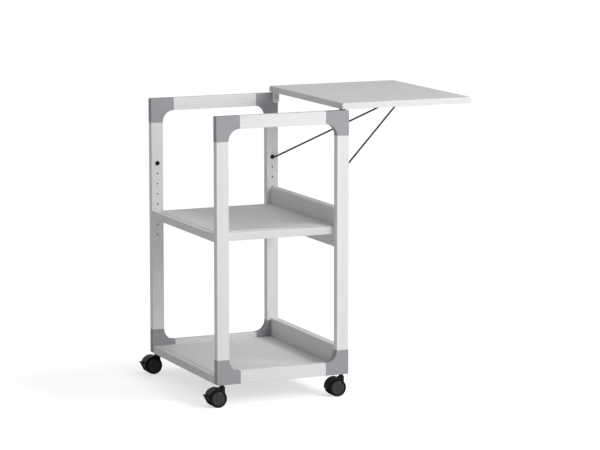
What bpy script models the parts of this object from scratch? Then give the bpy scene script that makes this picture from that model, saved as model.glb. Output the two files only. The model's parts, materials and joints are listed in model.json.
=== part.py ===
"""Instrument cart on castors, with a folding side shelf.

Two ring-shaped side frames of box profile and corner blocks carry a bottom
shelf and a middle shelf, each with a back panel.  A folding shelf hangs on two
ears at the back of the frames and is held level by a wire stay, whose ends
turn in the back uprights.  Four twin-wheel castors turn in the lower blocks.

The floor is z = 0 and the back of the cart, where the folding shelf is, is +Y.
Sizes are in metres.  Pieces are placed from the centre of the side frames, and
the datum empty moves them so that the origin is the centre of the whole box.
"""

import math

import bmesh
import bpy
from mathutils import Quaternion, Vector

# ---- Driving dimensions ------------------------------------------------------

GAP = 0.0003                  # between pieces that touch or fit into each other
SHEET = 0.0015                # pressed steel of shelves and panels

FRAME_WIDTH = 0.520           # outside of the side frames, along X
FRAME_DEPTH = 0.400           # along Y
FRAME_HEIGHT = 0.750          # along Z, without the castors
PROFILE_FACE = 0.036          # box profile seen from the side
PROFILE_THICK = 0.022         # box profile along X
PROFILE_WALL = 0.0018
PROFILE_ROUND = 0.0012

BLOCK_ARM = 0.070             # corner block, from its outer corner to an arm's end
BLOCK_ROUND = 0.003           # outer corner
BLOCK_EDGE = 0.0006           # small bevel on all its edges
SPIGOT_LENGTH = 0.016
SPIGOT_ROOT = 0.002           # each spigot starts this far inside its block

HOLE_PITCH = 0.030            # holes up the inner face of each upright
HOLE_COUNT = 7
HOLE_DIAMETER = 0.0046
STAY_HOLE_DROP = 0.189        # below the top of the frame, first hole of the row
STAY_HOLE_DIAMETER = 0.010

SHELF_THICK = 0.022           # from the border's top to the flange's lower edge
SHELF_EDGE = 0.002            # bend at the top of the flanges
FIELD_RISE = 0.002            # the pressed field stands above the border
FIELD_MARGIN = 0.014          # from the shelf's side to the field's foot
FIELD_SLOPE = 0.003
FIELD_CORNER = 0.022
MIDDLE_SHELF_HOLE = 5         # the middle shelf's screws are this many pitches down

MIDDLE_PANEL_ABOVE = 0.048    # above and below the middle shelf's border
MIDDLE_PANEL_BELOW = 0.063
BOTTOM_PANEL_HEIGHT = 0.076

SCREW_DIAMETER = 0.004
SCREW_LENGTH = 0.0085
SCREW_HEAD_DIAMETER = 0.008
SCREW_HEAD_HEIGHT = 0.003
HEAD_ROUND = 0.0008           # bevel round the heads of screws and bolts
SCREW_ROOM = 0.0005           # between a screw's head and the back panel's sheet

FOLD_INSET = 0.002            # folding shelf's side, in from the frame's side
FOLD_OVERLAP = 0.020          # in front of the frame's back
FOLD_REACH = 0.386            # beyond the frame's back
FOLD_ABOVE = 0.020            # its top above the frame's top
FOLD_THICK = 0.017
FOLD_BEND = 0.0035            # bend at the hinge edge
FOLD_CORNER = 0.004

PIVOT_BEHIND = 0.008          # hinge pivot, from the frame's back and its top
PIVOT_BELOW = 0.013
PIVOT_DIAMETER = 0.006
PIVOT_DEPTH = 0.014           # into the corner block
PIVOT_HEAD_DIAMETER = 0.0105
PIVOT_HEAD_HEIGHT = 0.003
EAR_THICK = 0.003
EAR_HALF = 0.0105             # half the ear's width, centred on the pivot
EAR_BELOW = 0.017             # from the pivot to the ear's end
EAR_FOOT = 0.016              # the ear's foot along X, under the deck
WASHER_THICK = 0.001
WASHER_DIAMETER = 0.012

STAY_DIAMETER = 0.005
STAY_BEND = 0.007             # on the wire's centre line
STAY_INSET = 0.013            # from the upright's face to the bent leg
STAY_IN_UPRIGHT = 0.012
STAY_REACH = 0.284            # cross wire, beyond the frame's back
STAY_BELOW_DECK = 0.024       # cross wire, below the folding shelf's top
STAY_CROSS = 0.020            # length of the cross wire between its bends
BUSH_FLANGE = 0.013
BUSH_FLANGE_THICK = 0.0012
BUSH_LENGTH = 0.006
CATCH_WIDTH = 0.008
CATCH_WALL = 0.004
CATCH_CLEARANCE = 0.0006      # round the cross wire in its groove
CATCH_MOUTH = 0.013           # the upper lip, from the cross wire to the mouth
CATCH_LOWER_LIP = 0.0028      # the lower lip
CATCH_FOOT = 0.003            # the foot is this much wider at the deck, on the hinge side
CATCH_GROOVE_FALL = 21.5      # degrees that the groove falls towards its mouth

CASTOR_HEIGHT = 0.061
WHEEL_DIAMETER = 0.050
WHEEL_WIDTH = 0.015
WHEEL_ROUND = 0.0015          # bevel of the tread's edges
WHEEL_RIM = 0.004             # flat rim round the dished face
WHEEL_DISH = 0.0012
WHEEL_DISH_SLOPE = 0.002
WEB_THICK = 0.011             # hood's web between the wheels
WHEEL_CLEARANCE = 0.0006
HOOD_RADIUS = 0.028
HOOD_WIDTH = 0.036
HOOD_TOP = 0.055              # top of the hood's stem boss
HOOD_BOSS = 0.014
HOOD_BOSS_HEIGHT = 0.012
WEB_LOW = 0.004               # web's lower corner under the boss, above the axle
WEB_HUB = 0.012               # web's radius below the axle
WEB_INSET = 0.001             # web inside the cover's outer face
HOOD_START = 62.0             # degrees from +Y, up and over to the front
HOOD_END = 188.0
TRAIL = 0.018                 # from the stem to the wheel centre
STEM_DIAMETER = 0.007
STEM_IN_HOOD = 0.020
STEM_IN_BLOCK = 0.024
COLLAR_DIAMETER = 0.012
COLLAR_HEIGHT = 0.004
AXLE_DIAMETER = 0.005
AXLE_IN_WHEEL = 0.010
LEVER_PIVOT = 0.019           # from the wheel centre
LEVER_ANGLE = 163.0           # degrees from +Y
LEVER_REACH = 0.0185          # from the pivot to the lever's tip
LEVER_THICK = 0.0034
LEVER_HALF = 0.0030           # half its width inside the hood
LEVER_PAD_HALF = 0.008        # half its width outside the hood
LEVER_PAD_OUT = 0.005         # from the hood to the middle of the pad's inner end
LEVER_PAD_EXTRA = 0.0004      # the pad is this much thicker on each face
LEVER_RISE = 12.0             # degrees that the lever rises towards its tip
LEVER_SLOT_BACK = 0.0035      # slot in the hood, from the pivot: behind and above it
LEVER_SLOT_HIGH = 0.010       # above the pivot at the lever's tip
LEVER_SLOT_LOW = 0.009        # below the pivot, for 25 degrees of travel down

ROUND_SEGMENTS = 28           # wheels and hoods
PIN_SEGMENTS = 16             # pins, screws and holes

# ---- Places worked out from the dimensions ------------------------------------

FRAME_BOTTOM = CASTOR_HEIGHT
FRAME_TOP = FRAME_BOTTOM + FRAME_HEIGHT
BACK = FRAME_DEPTH / 2
FRONT = -FRAME_DEPTH / 2
INNER_X = FRAME_WIDTH / 2 - PROFILE_THICK
FRAME_MID_X = FRAME_WIDTH / 2 - PROFILE_THICK / 2
UPRIGHT_Y = FRAME_DEPTH / 2 - PROFILE_FACE / 2
SHELF_HALF_X = INNER_X - GAP
PANEL_DEPTH = PROFILE_FACE / 2 + SCREW_HEAD_DIAMETER / 2 + SHEET + SCREW_ROOM
SHELF_BACK = BACK - PANEL_DEPTH - GAP

BOTTOM_BORDER = FRAME_BOTTOM + SHELF_THICK
SCREW_Z = FRAME_TOP - STAY_HOLE_DROP - MIDDLE_SHELF_HOLE * HOLE_PITCH
MIDDLE_BORDER = SCREW_Z + SHELF_THICK / 2

FOLD_TOP = FRAME_TOP + FOLD_ABOVE
FOLD_WIDTH = FRAME_WIDTH - 2 * FOLD_INSET
PIVOT = Vector((0, BACK - PIVOT_BEHIND, FRAME_TOP - PIVOT_BELOW))
STAY_AXIS = Vector((0, UPRIGHT_Y, FRAME_TOP - STAY_HOLE_DROP))
STAY_TIP = Vector((0, BACK + STAY_REACH, FOLD_TOP - STAY_BELOW_DECK))
EAR_OUTER_X = INNER_X - 2 * GAP - WASHER_THICK

WHEEL_RADIUS = WHEEL_DIAMETER / 2
WHEEL_INNER_X = WEB_THICK / 2 + GAP
STEM_Y = UPRIGHT_Y
LEVER_Y = LEVER_PIVOT * math.cos(math.radians(LEVER_ANGLE))
LEVER_FRONT = -STEM_Y - TRAIL + LEVER_Y - LEVER_REACH
DATUM_Y = -(BACK + FOLD_REACH + LEVER_FRONT) / 2

SIDES = {"right": 1, "left": -1}
ENDS = {"front": -1, "back": 1}
LEVELS = {"top": 1, "bottom": -1}


# ---- Helpers -------------------------------------------------------------------

def material(name, colour, roughness, metallic=0.0):
    """Return a Principled material."""
    made = bpy.data.materials.new(name)
    made.use_nodes = True
    shader = made.node_tree.nodes["Principled BSDF"]
    shader.inputs["Base Color"].default_value = (*colour, 1.0)
    shader.inputs["Roughness"].default_value = roughness
    shader.inputs["Metallic"].default_value = metallic
    return made


def empty(name, place, parent=None):
    """Return an empty that carries the pieces of one moving group."""
    holder = bpy.data.objects.new(name, None)
    bpy.context.scene.collection.objects.link(holder)
    holder.location = place
    holder.parent = parent
    return holder


def add_object(name, mesh, finish, parent, place=(0, 0, 0)):
    """Put a mesh into the scene under its parent."""
    piece = bpy.data.objects.new(name, mesh)
    bpy.context.scene.collection.objects.link(piece)
    mesh.materials.clear()
    mesh.materials.append(finish)
    piece.parent = parent
    piece.location = place
    return piece


def finish_mesh(name, bm):
    """Turn a bmesh into a mesh with outward faces and smooth round walls."""
    bmesh.ops.recalc_face_normals(bm, faces=bm.faces)
    mesh = bpy.data.meshes.new(name)
    bm.to_mesh(mesh)
    bm.free()
    mesh.shade_smooth()
    mesh.set_sharp_from_angle(angle=math.radians(35))
    return mesh


def loft(name, rings, closed=False):
    """Join rings of equally many points by walls.

    The first and last ring are capped, or joined to each other when closed.
    """
    bm = bmesh.new()
    loops = [[bm.verts.new(point) for point in ring] for ring in rings]
    pairs = list(zip(loops, loops[1:]))
    if closed:
        pairs.append((loops[-1], loops[0]))
    for low, high in pairs:
        count = len(low)
        for i in range(count):
            j = (i + 1) % count
            bm.faces.new((low[i], low[j], high[j], high[i]))
    if not closed:
        bm.faces.new(loops[0])
        bm.faces.new(loops[-1])
    return finish_mesh(name, bm)


def prism(name, outline, start, end):
    """Extrude a Y-Z outline along X from start to end."""
    bm = bmesh.new()
    face = bm.faces.new([bm.verts.new((start, y, z)) for y, z in outline])
    grown = bmesh.ops.extrude_face_region(bm, geom=[face])["geom"]
    moved = [item for item in grown if isinstance(item, bmesh.types.BMVert)]
    bmesh.ops.translate(bm, verts=moved, vec=(end - start, 0, 0))
    return finish_mesh(name, bm)


def circle(radius, centre, axis, segments=PIN_SEGMENTS):
    """Points of a circle round one of the axes X, Y or Z."""
    points = []
    for i in range(segments):
        angle = 2 * math.pi * (i + 0.25) / segments
        u = radius * math.cos(angle)
        v = radius * math.sin(angle)
        offset = {"X": (0, u, v), "Y": (v, 0, u), "Z": (u, v, 0)}[axis]
        points.append(Vector(centre) + Vector(offset))
    return points


def turned(name, profile, axis, segments=PIN_SEGMENTS, closed=False):
    """Turn a profile of (radius, place along the axis) round an axis."""
    way = {"X": Vector((1, 0, 0)), "Y": Vector((0, 1, 0)), "Z": Vector((0, 0, 1))}[axis]
    rings = [circle(radius, way * place, axis, segments) for radius, place in profile]
    return loft(name, rings, closed)


def arc(centre, radius, start, end, segments):
    """Points of a Y-Z arc, with angles in degrees from +Y towards +Z."""
    points = []
    for i in range(segments + 1):
        angle = math.radians(start + (end - start) * i / segments)
        points.append((centre[0] + radius * math.cos(angle), centre[1] + radius * math.sin(angle)))
    return points


def rounded_rect(low, high, radius, segments=6):
    """Corner points of a rounded rectangle from low to high, anticlockwise."""
    centres = ((high[0] - radius, high[1] - radius, 0), (low[0] + radius, high[1] - radius, 90),
               (low[0] + radius, low[1] + radius, 180), (high[0] - radius, low[1] + radius, 270))
    points = []
    for u, v, start in centres:
        points += arc((u, v), radius, start, start + 90, segments)
    return points


def level_ring(low, high, radius, z, segments=6):
    """A rounded rectangle lying level at height z."""
    return [(x, y, z) for x, y in rounded_rect(low, high, radius, segments)]


def cut(target, name, mesh, place=(0, 0, 0), operation="DIFFERENCE"):
    """Cut a shape out of a piece, or unite it with the piece."""
    tool = add_object(name, mesh, target.data.materials[0], target.parent, place)
    tool.hide_render = True
    tool.display_type = "WIRE"
    step = target.modifiers.new(name, "BOOLEAN")
    step.operation = operation
    step.object = tool
    step.solver = "EXACT"
    return tool


def bevel_edges(piece, width):
    """Give a piece's sharp edges one small bevel."""
    step = piece.modifiers.new("edge", "BEVEL")
    step.width = width
    step.segments = 1
    step.limit_method = "ANGLE"
    step.angle_limit = math.radians(50)


# ---- Side frames ---------------------------------------------------------------

def tube_mesh(name, length, levels=()):
    """Hollow box profile along Z, centred, with both ends open.

    Its walls are divided at the given levels, so that no wall has two holes.
    """
    places = sorted([-length / 2, length / 2, *levels])
    rings = []
    for inset, radius in ((0, PROFILE_ROUND), (PROFILE_WALL, PROFILE_ROUND / 2)):
        low = (-PROFILE_THICK / 2 + inset, -PROFILE_FACE / 2 + inset)
        high = (PROFILE_THICK / 2 - inset, PROFILE_FACE / 2 - inset)
        ordered = places if inset == 0 else places[::-1]
        rings += [level_ring(low, high, radius, z, 3) for z in ordered]
    return loft(name, rings, closed=True)


def build_uprights(datum, finish):
    """Four uprights, with a row of holes in their inner faces."""
    length = FRAME_HEIGHT - 2 * BLOCK_ARM - 2 * GAP
    middle = (FRAME_BOTTOM + FRAME_TOP) / 2
    heights = [FRAME_TOP - STAY_HOLE_DROP - number * HOLE_PITCH for number in range(HOLE_COUNT + 1)]
    levels = [height - HOLE_PITCH / 2 - middle for height in heights]
    for side, sign in SIDES.items():
        for end, way in ENDS.items():
            name = f"upright_{end}_{side}"
            upright = add_object(name, tube_mesh(name, length, levels), finish, datum,
                                 (sign * FRAME_MID_X, way * UPRIGHT_Y, middle))
            for number, height in enumerate(heights):
                radius = (STAY_HOLE_DIAMETER if number == 0 else HOLE_DIAMETER) / 2
                tool = f"{name}_drill_{number}"
                drill = turned(tool, [(radius, -PROFILE_WALL * 2), (radius, PROFILE_WALL * 2)], "X")
                cut(upright, tool, drill, (sign * INNER_X, way * UPRIGHT_Y, height))


def build_beams(datum, finish):
    """Top and bottom beam of each side frame."""
    length = FRAME_DEPTH - 2 * BLOCK_ARM - 2 * GAP
    for side, sign in SIDES.items():
        for level, way in LEVELS.items():
            name = f"beam_{level}_{side}"
            height = FRAME_TOP if way > 0 else FRAME_BOTTOM
            place = (sign * FRAME_MID_X, 0, height - way * PROFILE_FACE / 2)
            beam = add_object(name, tube_mesh(name, length), finish, datum, place)
            beam.rotation_euler = (math.radians(90), 0, 0)


def block_outline():
    """L outline of a corner block, its outer corner at the origin."""
    fillet = BLOCK_ARM - PROFILE_FACE
    outline = arc((-BLOCK_ROUND, -BLOCK_ROUND), BLOCK_ROUND, 0, 90, 4)
    outline += [(-BLOCK_ARM, 0), (-BLOCK_ARM, -PROFILE_FACE)]
    outline += arc((-BLOCK_ARM, -BLOCK_ARM), fillet, 90, 0, 8)[1:-1]
    outline += [(-PROFILE_FACE, -BLOCK_ARM), (0, -BLOCK_ARM)]
    return outline


def build_blocks(datum, finish):
    """Eight corner blocks with spigots that enter the profiles."""
    spigot_y = PROFILE_FACE - 2 * (PROFILE_WALL + GAP)
    spigot_x = PROFILE_THICK - 2 * (PROFILE_WALL + GAP)
    for side, sign in SIDES.items():
        for end, way in ENDS.items():
            for level, up in LEVELS.items():
                name = f"corner_block_{level}_{end}_{side}"
                outline = [(way * y, up * z) for y, z in block_outline()]
                place = (sign * FRAME_MID_X, way * BACK, FRAME_TOP if up > 0 else FRAME_BOTTOM)
                block = add_object(name, prism(name, outline, -PROFILE_THICK / 2, PROFILE_THICK / 2),
                                   finish, datum, place)
                bevel_edges(block, BLOCK_EDGE)
                centre = -PROFILE_FACE / 2
                half = spigot_y / 2
                for number in range(2):
                    along = (-BLOCK_ARM + SPIGOT_ROOT, -BLOCK_ARM - SPIGOT_LENGTH)
                    across = (centre - half, centre + half)
                    spans = (along, across) if number == 0 else (across, along)
                    (y0, y1), (z0, z1) = spans
                    corners = [(way * y, up * z) for y, z in ((y0, z0), (y1, z0), (y1, z1), (y0, z1))]
                    tool = f"{name}_spigot_{number}"
                    cut(block, tool, prism(tool, corners, -spigot_x / 2, spigot_x / 2), place, "UNION")
                if up < 0:
                    bore = STEM_DIAMETER / 2 + GAP
                    tool = f"{name}_socket"
                    profile = [(bore, -STEM_IN_BLOCK), (bore, STEM_IN_BLOCK + GAP)]
                    cut(block, tool, turned(tool, profile, "Z"), (place[0], way * STEM_Y, FRAME_BOTTOM))
                elif way > 0:
                    bore = PIVOT_DIAMETER / 2 + GAP
                    tool = f"{name}_pivot_hole"
                    profile = [(bore, -PIVOT_DEPTH - GAP), (bore, PIVOT_DEPTH + GAP)]
                    cut(block, tool, turned(tool, profile, "X"), (sign * INNER_X, PIVOT.y, PIVOT.z))


# ---- Shelves and panels ----------------------------------------------------------

def tray_mesh(name, depth):
    """Pressed shelf with downturned flanges and a raised field.

    Its top border is at z = 0 and its front edge at y = 0.
    """
    def ring(inset, z, radius):
        low = (-SHELF_HALF_X + inset, inset)
        high = (SHELF_HALF_X - inset, depth - inset)
        return level_ring(low, high, radius, z)

    corner = SHELF_EDGE + 0.001
    rings = [ring(FIELD_MARGIN + FIELD_SLOPE, FIELD_RISE - SHEET, FIELD_CORNER)]
    rings.append(ring(FIELD_MARGIN, -SHEET, FIELD_CORNER + FIELD_SLOPE))
    rings += [ring(SHEET, -SHEET, corner - SHEET), ring(SHEET, -SHELF_THICK, corner - SHEET)]
    rings.append(ring(0, -SHELF_THICK, corner))
    for step in range(3):
        angle = math.radians(45 * step)
        inset = SHELF_EDGE * (1 - math.cos(angle))
        rings.append(ring(inset, SHELF_EDGE * (math.sin(angle) - 1), corner - inset))
    rings.append(ring(FIELD_MARGIN, 0, FIELD_CORNER + FIELD_SLOPE))
    rings.append(ring(FIELD_MARGIN + FIELD_SLOPE, FIELD_RISE, FIELD_CORNER))
    return loft(name, rings)


def panel_mesh(name, height):
    """Back panel: a sheet facing forwards with flanges all round.

    Its lower edge is at z = 0 and the sheet's front face at y = 0.
    """
    def ring(inset, y, radius):
        outline = rounded_rect((-SHELF_HALF_X + inset, inset), (SHELF_HALF_X - inset, height - inset), radius)
        return [(x, y, z) for x, z in outline]

    corner = SHELF_EDGE + 0.001
    rings = [ring(SHEET, SHEET, corner - SHEET), ring(SHEET, PANEL_DEPTH, corner - SHEET)]
    rings.append(ring(0, PANEL_DEPTH, corner))
    for step in range(3):
        angle = math.radians(45 * step)
        inset = SHELF_EDGE * (1 - math.cos(angle))
        rings.append(ring(inset, SHELF_EDGE * (1 - math.sin(angle)), corner - inset))
    return loft(name, rings)


def screw_mesh(name, sign):
    """Screw along X whose head's inner face is at x = 0."""
    head = SCREW_HEAD_DIAMETER / 2
    shank = SCREW_DIAMETER / 2
    profile = [(head - HEAD_ROUND, -SCREW_HEAD_HEIGHT), (head, HEAD_ROUND - SCREW_HEAD_HEIGHT), (head, 0),
               (shank, 0), (shank, SCREW_LENGTH)]
    return turned(name, [(radius, sign * place) for radius, place in profile], "X")


def build_shelves(datum, powder, steel):
    """Both shelves, both back panels and the screws at the middle shelf."""
    depth = SHELF_BACK - FRONT
    add_object("bottom_shelf", tray_mesh("bottom_shelf", depth), powder, datum, (0, FRONT, BOTTOM_BORDER))
    middle = add_object("middle_shelf", tray_mesh("middle_shelf", depth), powder, datum,
                        (0, FRONT, MIDDLE_BORDER))
    panel_y = BACK - PANEL_DEPTH
    add_object("bottom_back_panel", panel_mesh("bottom_back_panel", BOTTOM_PANEL_HEIGHT), powder, datum,
               (0, panel_y, FRAME_BOTTOM))
    height = MIDDLE_PANEL_ABOVE + MIDDLE_PANEL_BELOW
    panel = add_object("middle_back_panel", panel_mesh("middle_back_panel", height), powder, datum,
                       (0, panel_y, MIDDLE_BORDER - MIDDLE_PANEL_BELOW))
    radius = SCREW_DIAMETER / 2 + GAP
    for side, sign in SIDES.items():
        for end, way, held in (("front", -1, middle), ("back", 1, panel)):
            name = f"shelf_screw_{end}_{side}"
            head_x = SHELF_HALF_X - SHEET - GAP
            place = (sign * head_x, way * UPRIGHT_Y, SCREW_Z)
            add_object(name, screw_mesh(name, sign), steel, datum, place)
            profile = [(radius, -2 * SHEET), (radius, 3 * SHEET)]
            drill = turned(f"{name}_hole", [(r, sign * x) for r, x in profile], "X")
            cut(held, f"{name}_hole", drill, place)


# ---- Folding shelf and its stay ---------------------------------------------------

def fold_mesh(name):
    """Folding shelf: a flat sheet with downturned flanges, its top at z = 0.

    The bend at the hinge edge, at y = 0, is wider than the others.
    """
    depth = FOLD_OVERLAP + FOLD_REACH

    def ring(inset, front_inset, z, radius):
        low = (-FOLD_WIDTH / 2 + inset, front_inset)
        high = (FOLD_WIDTH / 2 - inset, depth - inset)
        return level_ring(low, high, radius, z)

    inner = FOLD_CORNER - SHEET
    rings = [ring(SHEET, SHEET, -SHEET, inner), ring(SHEET, SHEET, -FOLD_THICK, inner)]
    rings.append(ring(0, 0, -FOLD_THICK, FOLD_CORNER))
    steps = 6
    for step in range(steps + 1):
        angle = math.radians(90 * step / steps)
        z = FOLD_BEND * (math.sin(angle) - 1)
        above = max(0.0, z + SHELF_EDGE)
        inset = SHELF_EDGE - math.sqrt(max(0.0, SHELF_EDGE ** 2 - above ** 2))
        rings.append(ring(inset, FOLD_BEND * (1 - math.cos(angle)), z, FOLD_CORNER - inset))
    return loft(name, rings)


def ear_mesh(name, sign):
    """Hinge ear with a foot under the deck, its pivot at the origin.

    The outer face of the ear is at x = 0.
    """
    deck = FOLD_TOP - SHEET - GAP - PIVOT.z
    flange = BACK - FOLD_OVERLAP + SHEET + GAP - PIVOT.y
    front = max(-EAR_HALF, flange)
    tip = EAR_BELOW - EAR_HALF
    outline = [(EAR_HALF, deck), (front, deck)]
    outline += [(front, 0), *arc((0, -tip), EAR_HALF, 180, 360, 12)]
    ear = prism(name, outline, 0, -sign * EAR_THICK)
    strip = [(front, deck), (EAR_HALF, deck), (EAR_HALF, deck - EAR_THICK), (front, deck - EAR_THICK)]
    foot = prism(f"{name}_foot", strip, -sign * EAR_THICK / 2, -sign * (EAR_THICK + EAR_FOOT))
    return ear, foot


def catch_mesh(name):
    """Catch for the cross wire, which lies at the origin.

    A groove falls towards its open mouth, away from the hinge, so that the
    wire slides out as the shelf folds.
    """
    deck = STAY_BELOW_DECK - SHEET - GAP
    radius = STAY_DIAMETER / 2 + CATCH_CLEARANCE
    outer = radius + CATCH_WALL
    fall = -CATCH_GROOVE_FALL
    lean = math.radians(fall)
    along = (math.cos(lean), math.sin(lean))
    across = (-math.sin(lean), math.cos(lean))

    def point(forward, up):
        return (forward * along[0] + up * across[0], forward * along[1] + up * across[1])

    corner = point(CATCH_MOUTH, radius + CATCH_WALL)
    outline = [(corner[0], deck), corner, point(CATCH_MOUTH, radius)]
    outline += arc((0, 0), radius, fall + 90, fall + 270, 10)
    outline += [point(CATCH_LOWER_LIP, -radius), point(CATCH_LOWER_LIP, -outer)]
    outline += arc((0, 0), outer, fall + 270, fall + 180, 5)
    outline += [(-outer - CATCH_FOOT, deck)]
    return prism(name, outline, -CATCH_WIDTH / 2, CATCH_WIDTH / 2)


def fillet(before, corner, after, radius, segments=6):
    """Points of a round bend between two straight runs."""
    first = (before - corner).normalized()
    second = (after - corner).normalized()
    half = first.angle(second) / 2
    reach = radius / math.tan(half)
    centre = corner + (first + second).normalized() * (radius / math.sin(half))
    start = corner + first * reach - centre
    end = corner + second * reach - centre
    axis = start.cross(end)
    turn = start.angle(end)
    return [centre + Quaternion(axis, turn * i / segments) @ start for i in range(segments + 1)]


def build_stay(parent, finish):
    """The wire stay, a V whose ends turn outwards into the uprights."""
    way = STAY_TIP - STAY_AXIS
    end = Vector((INNER_X + STAY_IN_UPRIGHT, 0, 0))
    leg = Vector((INNER_X - STAY_INSET, 0, 0))
    cross = way + Vector((STAY_CROSS / 2, 0, 0))
    mirror = Vector((-1, 1, 1))
    corners = [end, leg, cross, cross * mirror, leg * mirror, end * mirror]
    route = [corners[0]]
    for before, corner, after in zip(corners, corners[1:], corners[2:]):
        route += fillet(before, corner, after, STAY_BEND)
    route.append(corners[-1])
    curve = bpy.data.curves.new("stay", "CURVE")
    curve.dimensions = "3D"
    curve.bevel_depth = STAY_DIAMETER / 2
    curve.bevel_resolution = 3
    curve.use_fill_caps = True
    spline = curve.splines.new("POLY")
    spline.points.add(len(route) - 1)
    for target, place in zip(spline.points, route):
        target.co = (*place, 1)
    add_object("stay", curve, finish, parent)


def build_fold(datum, powder, steel, plastic, wire):
    """Folding shelf, its ears, pivot bolts and catch, and the stay in its bushes."""
    hinge = empty("fold_hinge", PIVOT, datum)
    place = Vector((0, BACK - FOLD_OVERLAP, FOLD_TOP)) - PIVOT
    add_object("folding_shelf", fold_mesh("folding_shelf"), powder, hinge, place)
    for side, sign in SIDES.items():
        name = f"hinge_ear_{side}"
        ear_shape, foot_shape = ear_mesh(name, sign)
        ear = add_object(name, ear_shape, steel, hinge, (sign * EAR_OUTER_X, 0, 0))
        cut(ear, f"{name}_foot", foot_shape, (sign * EAR_OUTER_X, 0, 0), "UNION")
        bore = PIVOT_DIAMETER / 2 + GAP
        drill = turned(f"{name}_bore", [(bore, -2 * EAR_THICK), (bore, 2 * EAR_THICK)], "X")
        cut(ear, f"{name}_bore", drill, (sign * EAR_OUTER_X, 0, 0))

        name = f"hinge_washer_{side}"
        rim = WASHER_DIAMETER / 2
        profile = [(bore, 0), (rim, 0), (rim, -WASHER_THICK), (bore, -WASHER_THICK)]
        washer = turned(name, [(radius, sign * x) for radius, x in profile], "X", closed=True)
        add_object(name, washer, steel, datum, (sign * (INNER_X - GAP), PIVOT.y, PIVOT.z))

        name = f"hinge_bolt_{side}"
        head = PIVOT_HEAD_DIAMETER / 2
        shank = PIVOT_DIAMETER / 2
        length = INNER_X + PIVOT_DEPTH - EAR_OUTER_X + EAR_THICK + GAP
        profile = [(head - HEAD_ROUND, -PIVOT_HEAD_HEIGHT), (head, HEAD_ROUND - PIVOT_HEAD_HEIGHT), (head, 0),
                   (shank, 0), (shank, length)]
        bolt = turned(name, [(radius, sign * x) for radius, x in profile], "X")
        add_object(name, bolt, steel, datum, (sign * (EAR_OUTER_X - EAR_THICK - GAP), PIVOT.y, PIVOT.z))
    add_object("stay_catch", catch_mesh("stay_catch"), plastic, hinge, STAY_TIP - PIVOT)

    build_stay(empty("stay_axis", STAY_AXIS, datum), wire)
    for side, sign in SIDES.items():
        for end, way in ENDS.items():
            name = f"stay_bush_{end}_{side}"
            outer = STAY_HOLE_DIAMETER / 2 - GAP
            inner = STAY_DIAMETER / 2 + GAP
            profile = [(inner, -GAP - BUSH_FLANGE_THICK), (BUSH_FLANGE / 2, -GAP - BUSH_FLANGE_THICK),
                       (BUSH_FLANGE / 2, -GAP), (outer, -GAP), (outer, BUSH_LENGTH), (inner, BUSH_LENGTH)]
            bush = turned(name, [(radius, sign * x) for radius, x in profile], "X", closed=True)
            add_object(name, bush, plastic, datum, (sign * INNER_X, way * UPRIGHT_Y, STAY_AXIS.z))


# ---- Castors -----------------------------------------------------------------------

def wheel_mesh(name, sign):
    """Wheel whose inner face is at x = 0, with a blind bore for the axle."""
    bore = AXLE_DIAMETER / 2 + GAP
    shoulder = WHEEL_RADIUS - WHEEL_ROUND
    rim = WHEEL_RADIUS - WHEEL_RIM
    profile = [(bore, AXLE_IN_WHEEL + GAP), (bore, 0), (shoulder, 0), (WHEEL_RADIUS, WHEEL_ROUND),
               (WHEEL_RADIUS, WHEEL_WIDTH - WHEEL_ROUND), (shoulder, WHEEL_WIDTH), (rim, WHEEL_WIDTH),
               (rim - WHEEL_DISH_SLOPE, WHEEL_WIDTH - WHEEL_DISH)]
    return turned(name, [(radius, sign * x) for radius, x in profile], "X", ROUND_SEGMENTS)


def hood_outline():
    """Curved cover over the wheels, in the wheel centre's frame."""
    inner = WHEEL_RADIUS + WHEEL_CLEARANCE
    outline = arc((0, 0), HOOD_RADIUS, HOOD_START, HOOD_END, 14)
    return outline + arc((0, 0), inner, HOOD_END, HOOD_START, 14)


def web_outline():
    """Web between the wheels, from the axle up to the stem boss."""
    boss = TRAIL + HOOD_BOSS / 2
    top = HOOD_TOP - WHEEL_RADIUS
    cover = HOOD_RADIUS - WEB_INSET
    outline = [(boss, WEB_LOW), (boss, top), (TRAIL - HOOD_BOSS / 2, top)]
    outline += arc((0, 0), cover, 75, HOOD_END, 12)
    outline += arc((0, 0), WEB_HUB, HOOD_END + 10, 350, 10)
    return outline


def lever_outline(start, half):
    """Round-ended strip of the brake lever, seen along the axle.

    It runs from start to the lever's tip, and the pivot is at the origin.
    """
    slope = math.tan(math.radians(LEVER_RISE))
    tip = -LEVER_REACH + half
    outline = arc((start, -start * slope), half, -90 - LEVER_RISE, 90 - LEVER_RISE, 6)
    return outline + arc((tip, -tip * slope), half, 90 - LEVER_RISE, 270 - LEVER_RISE, 6)


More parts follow.
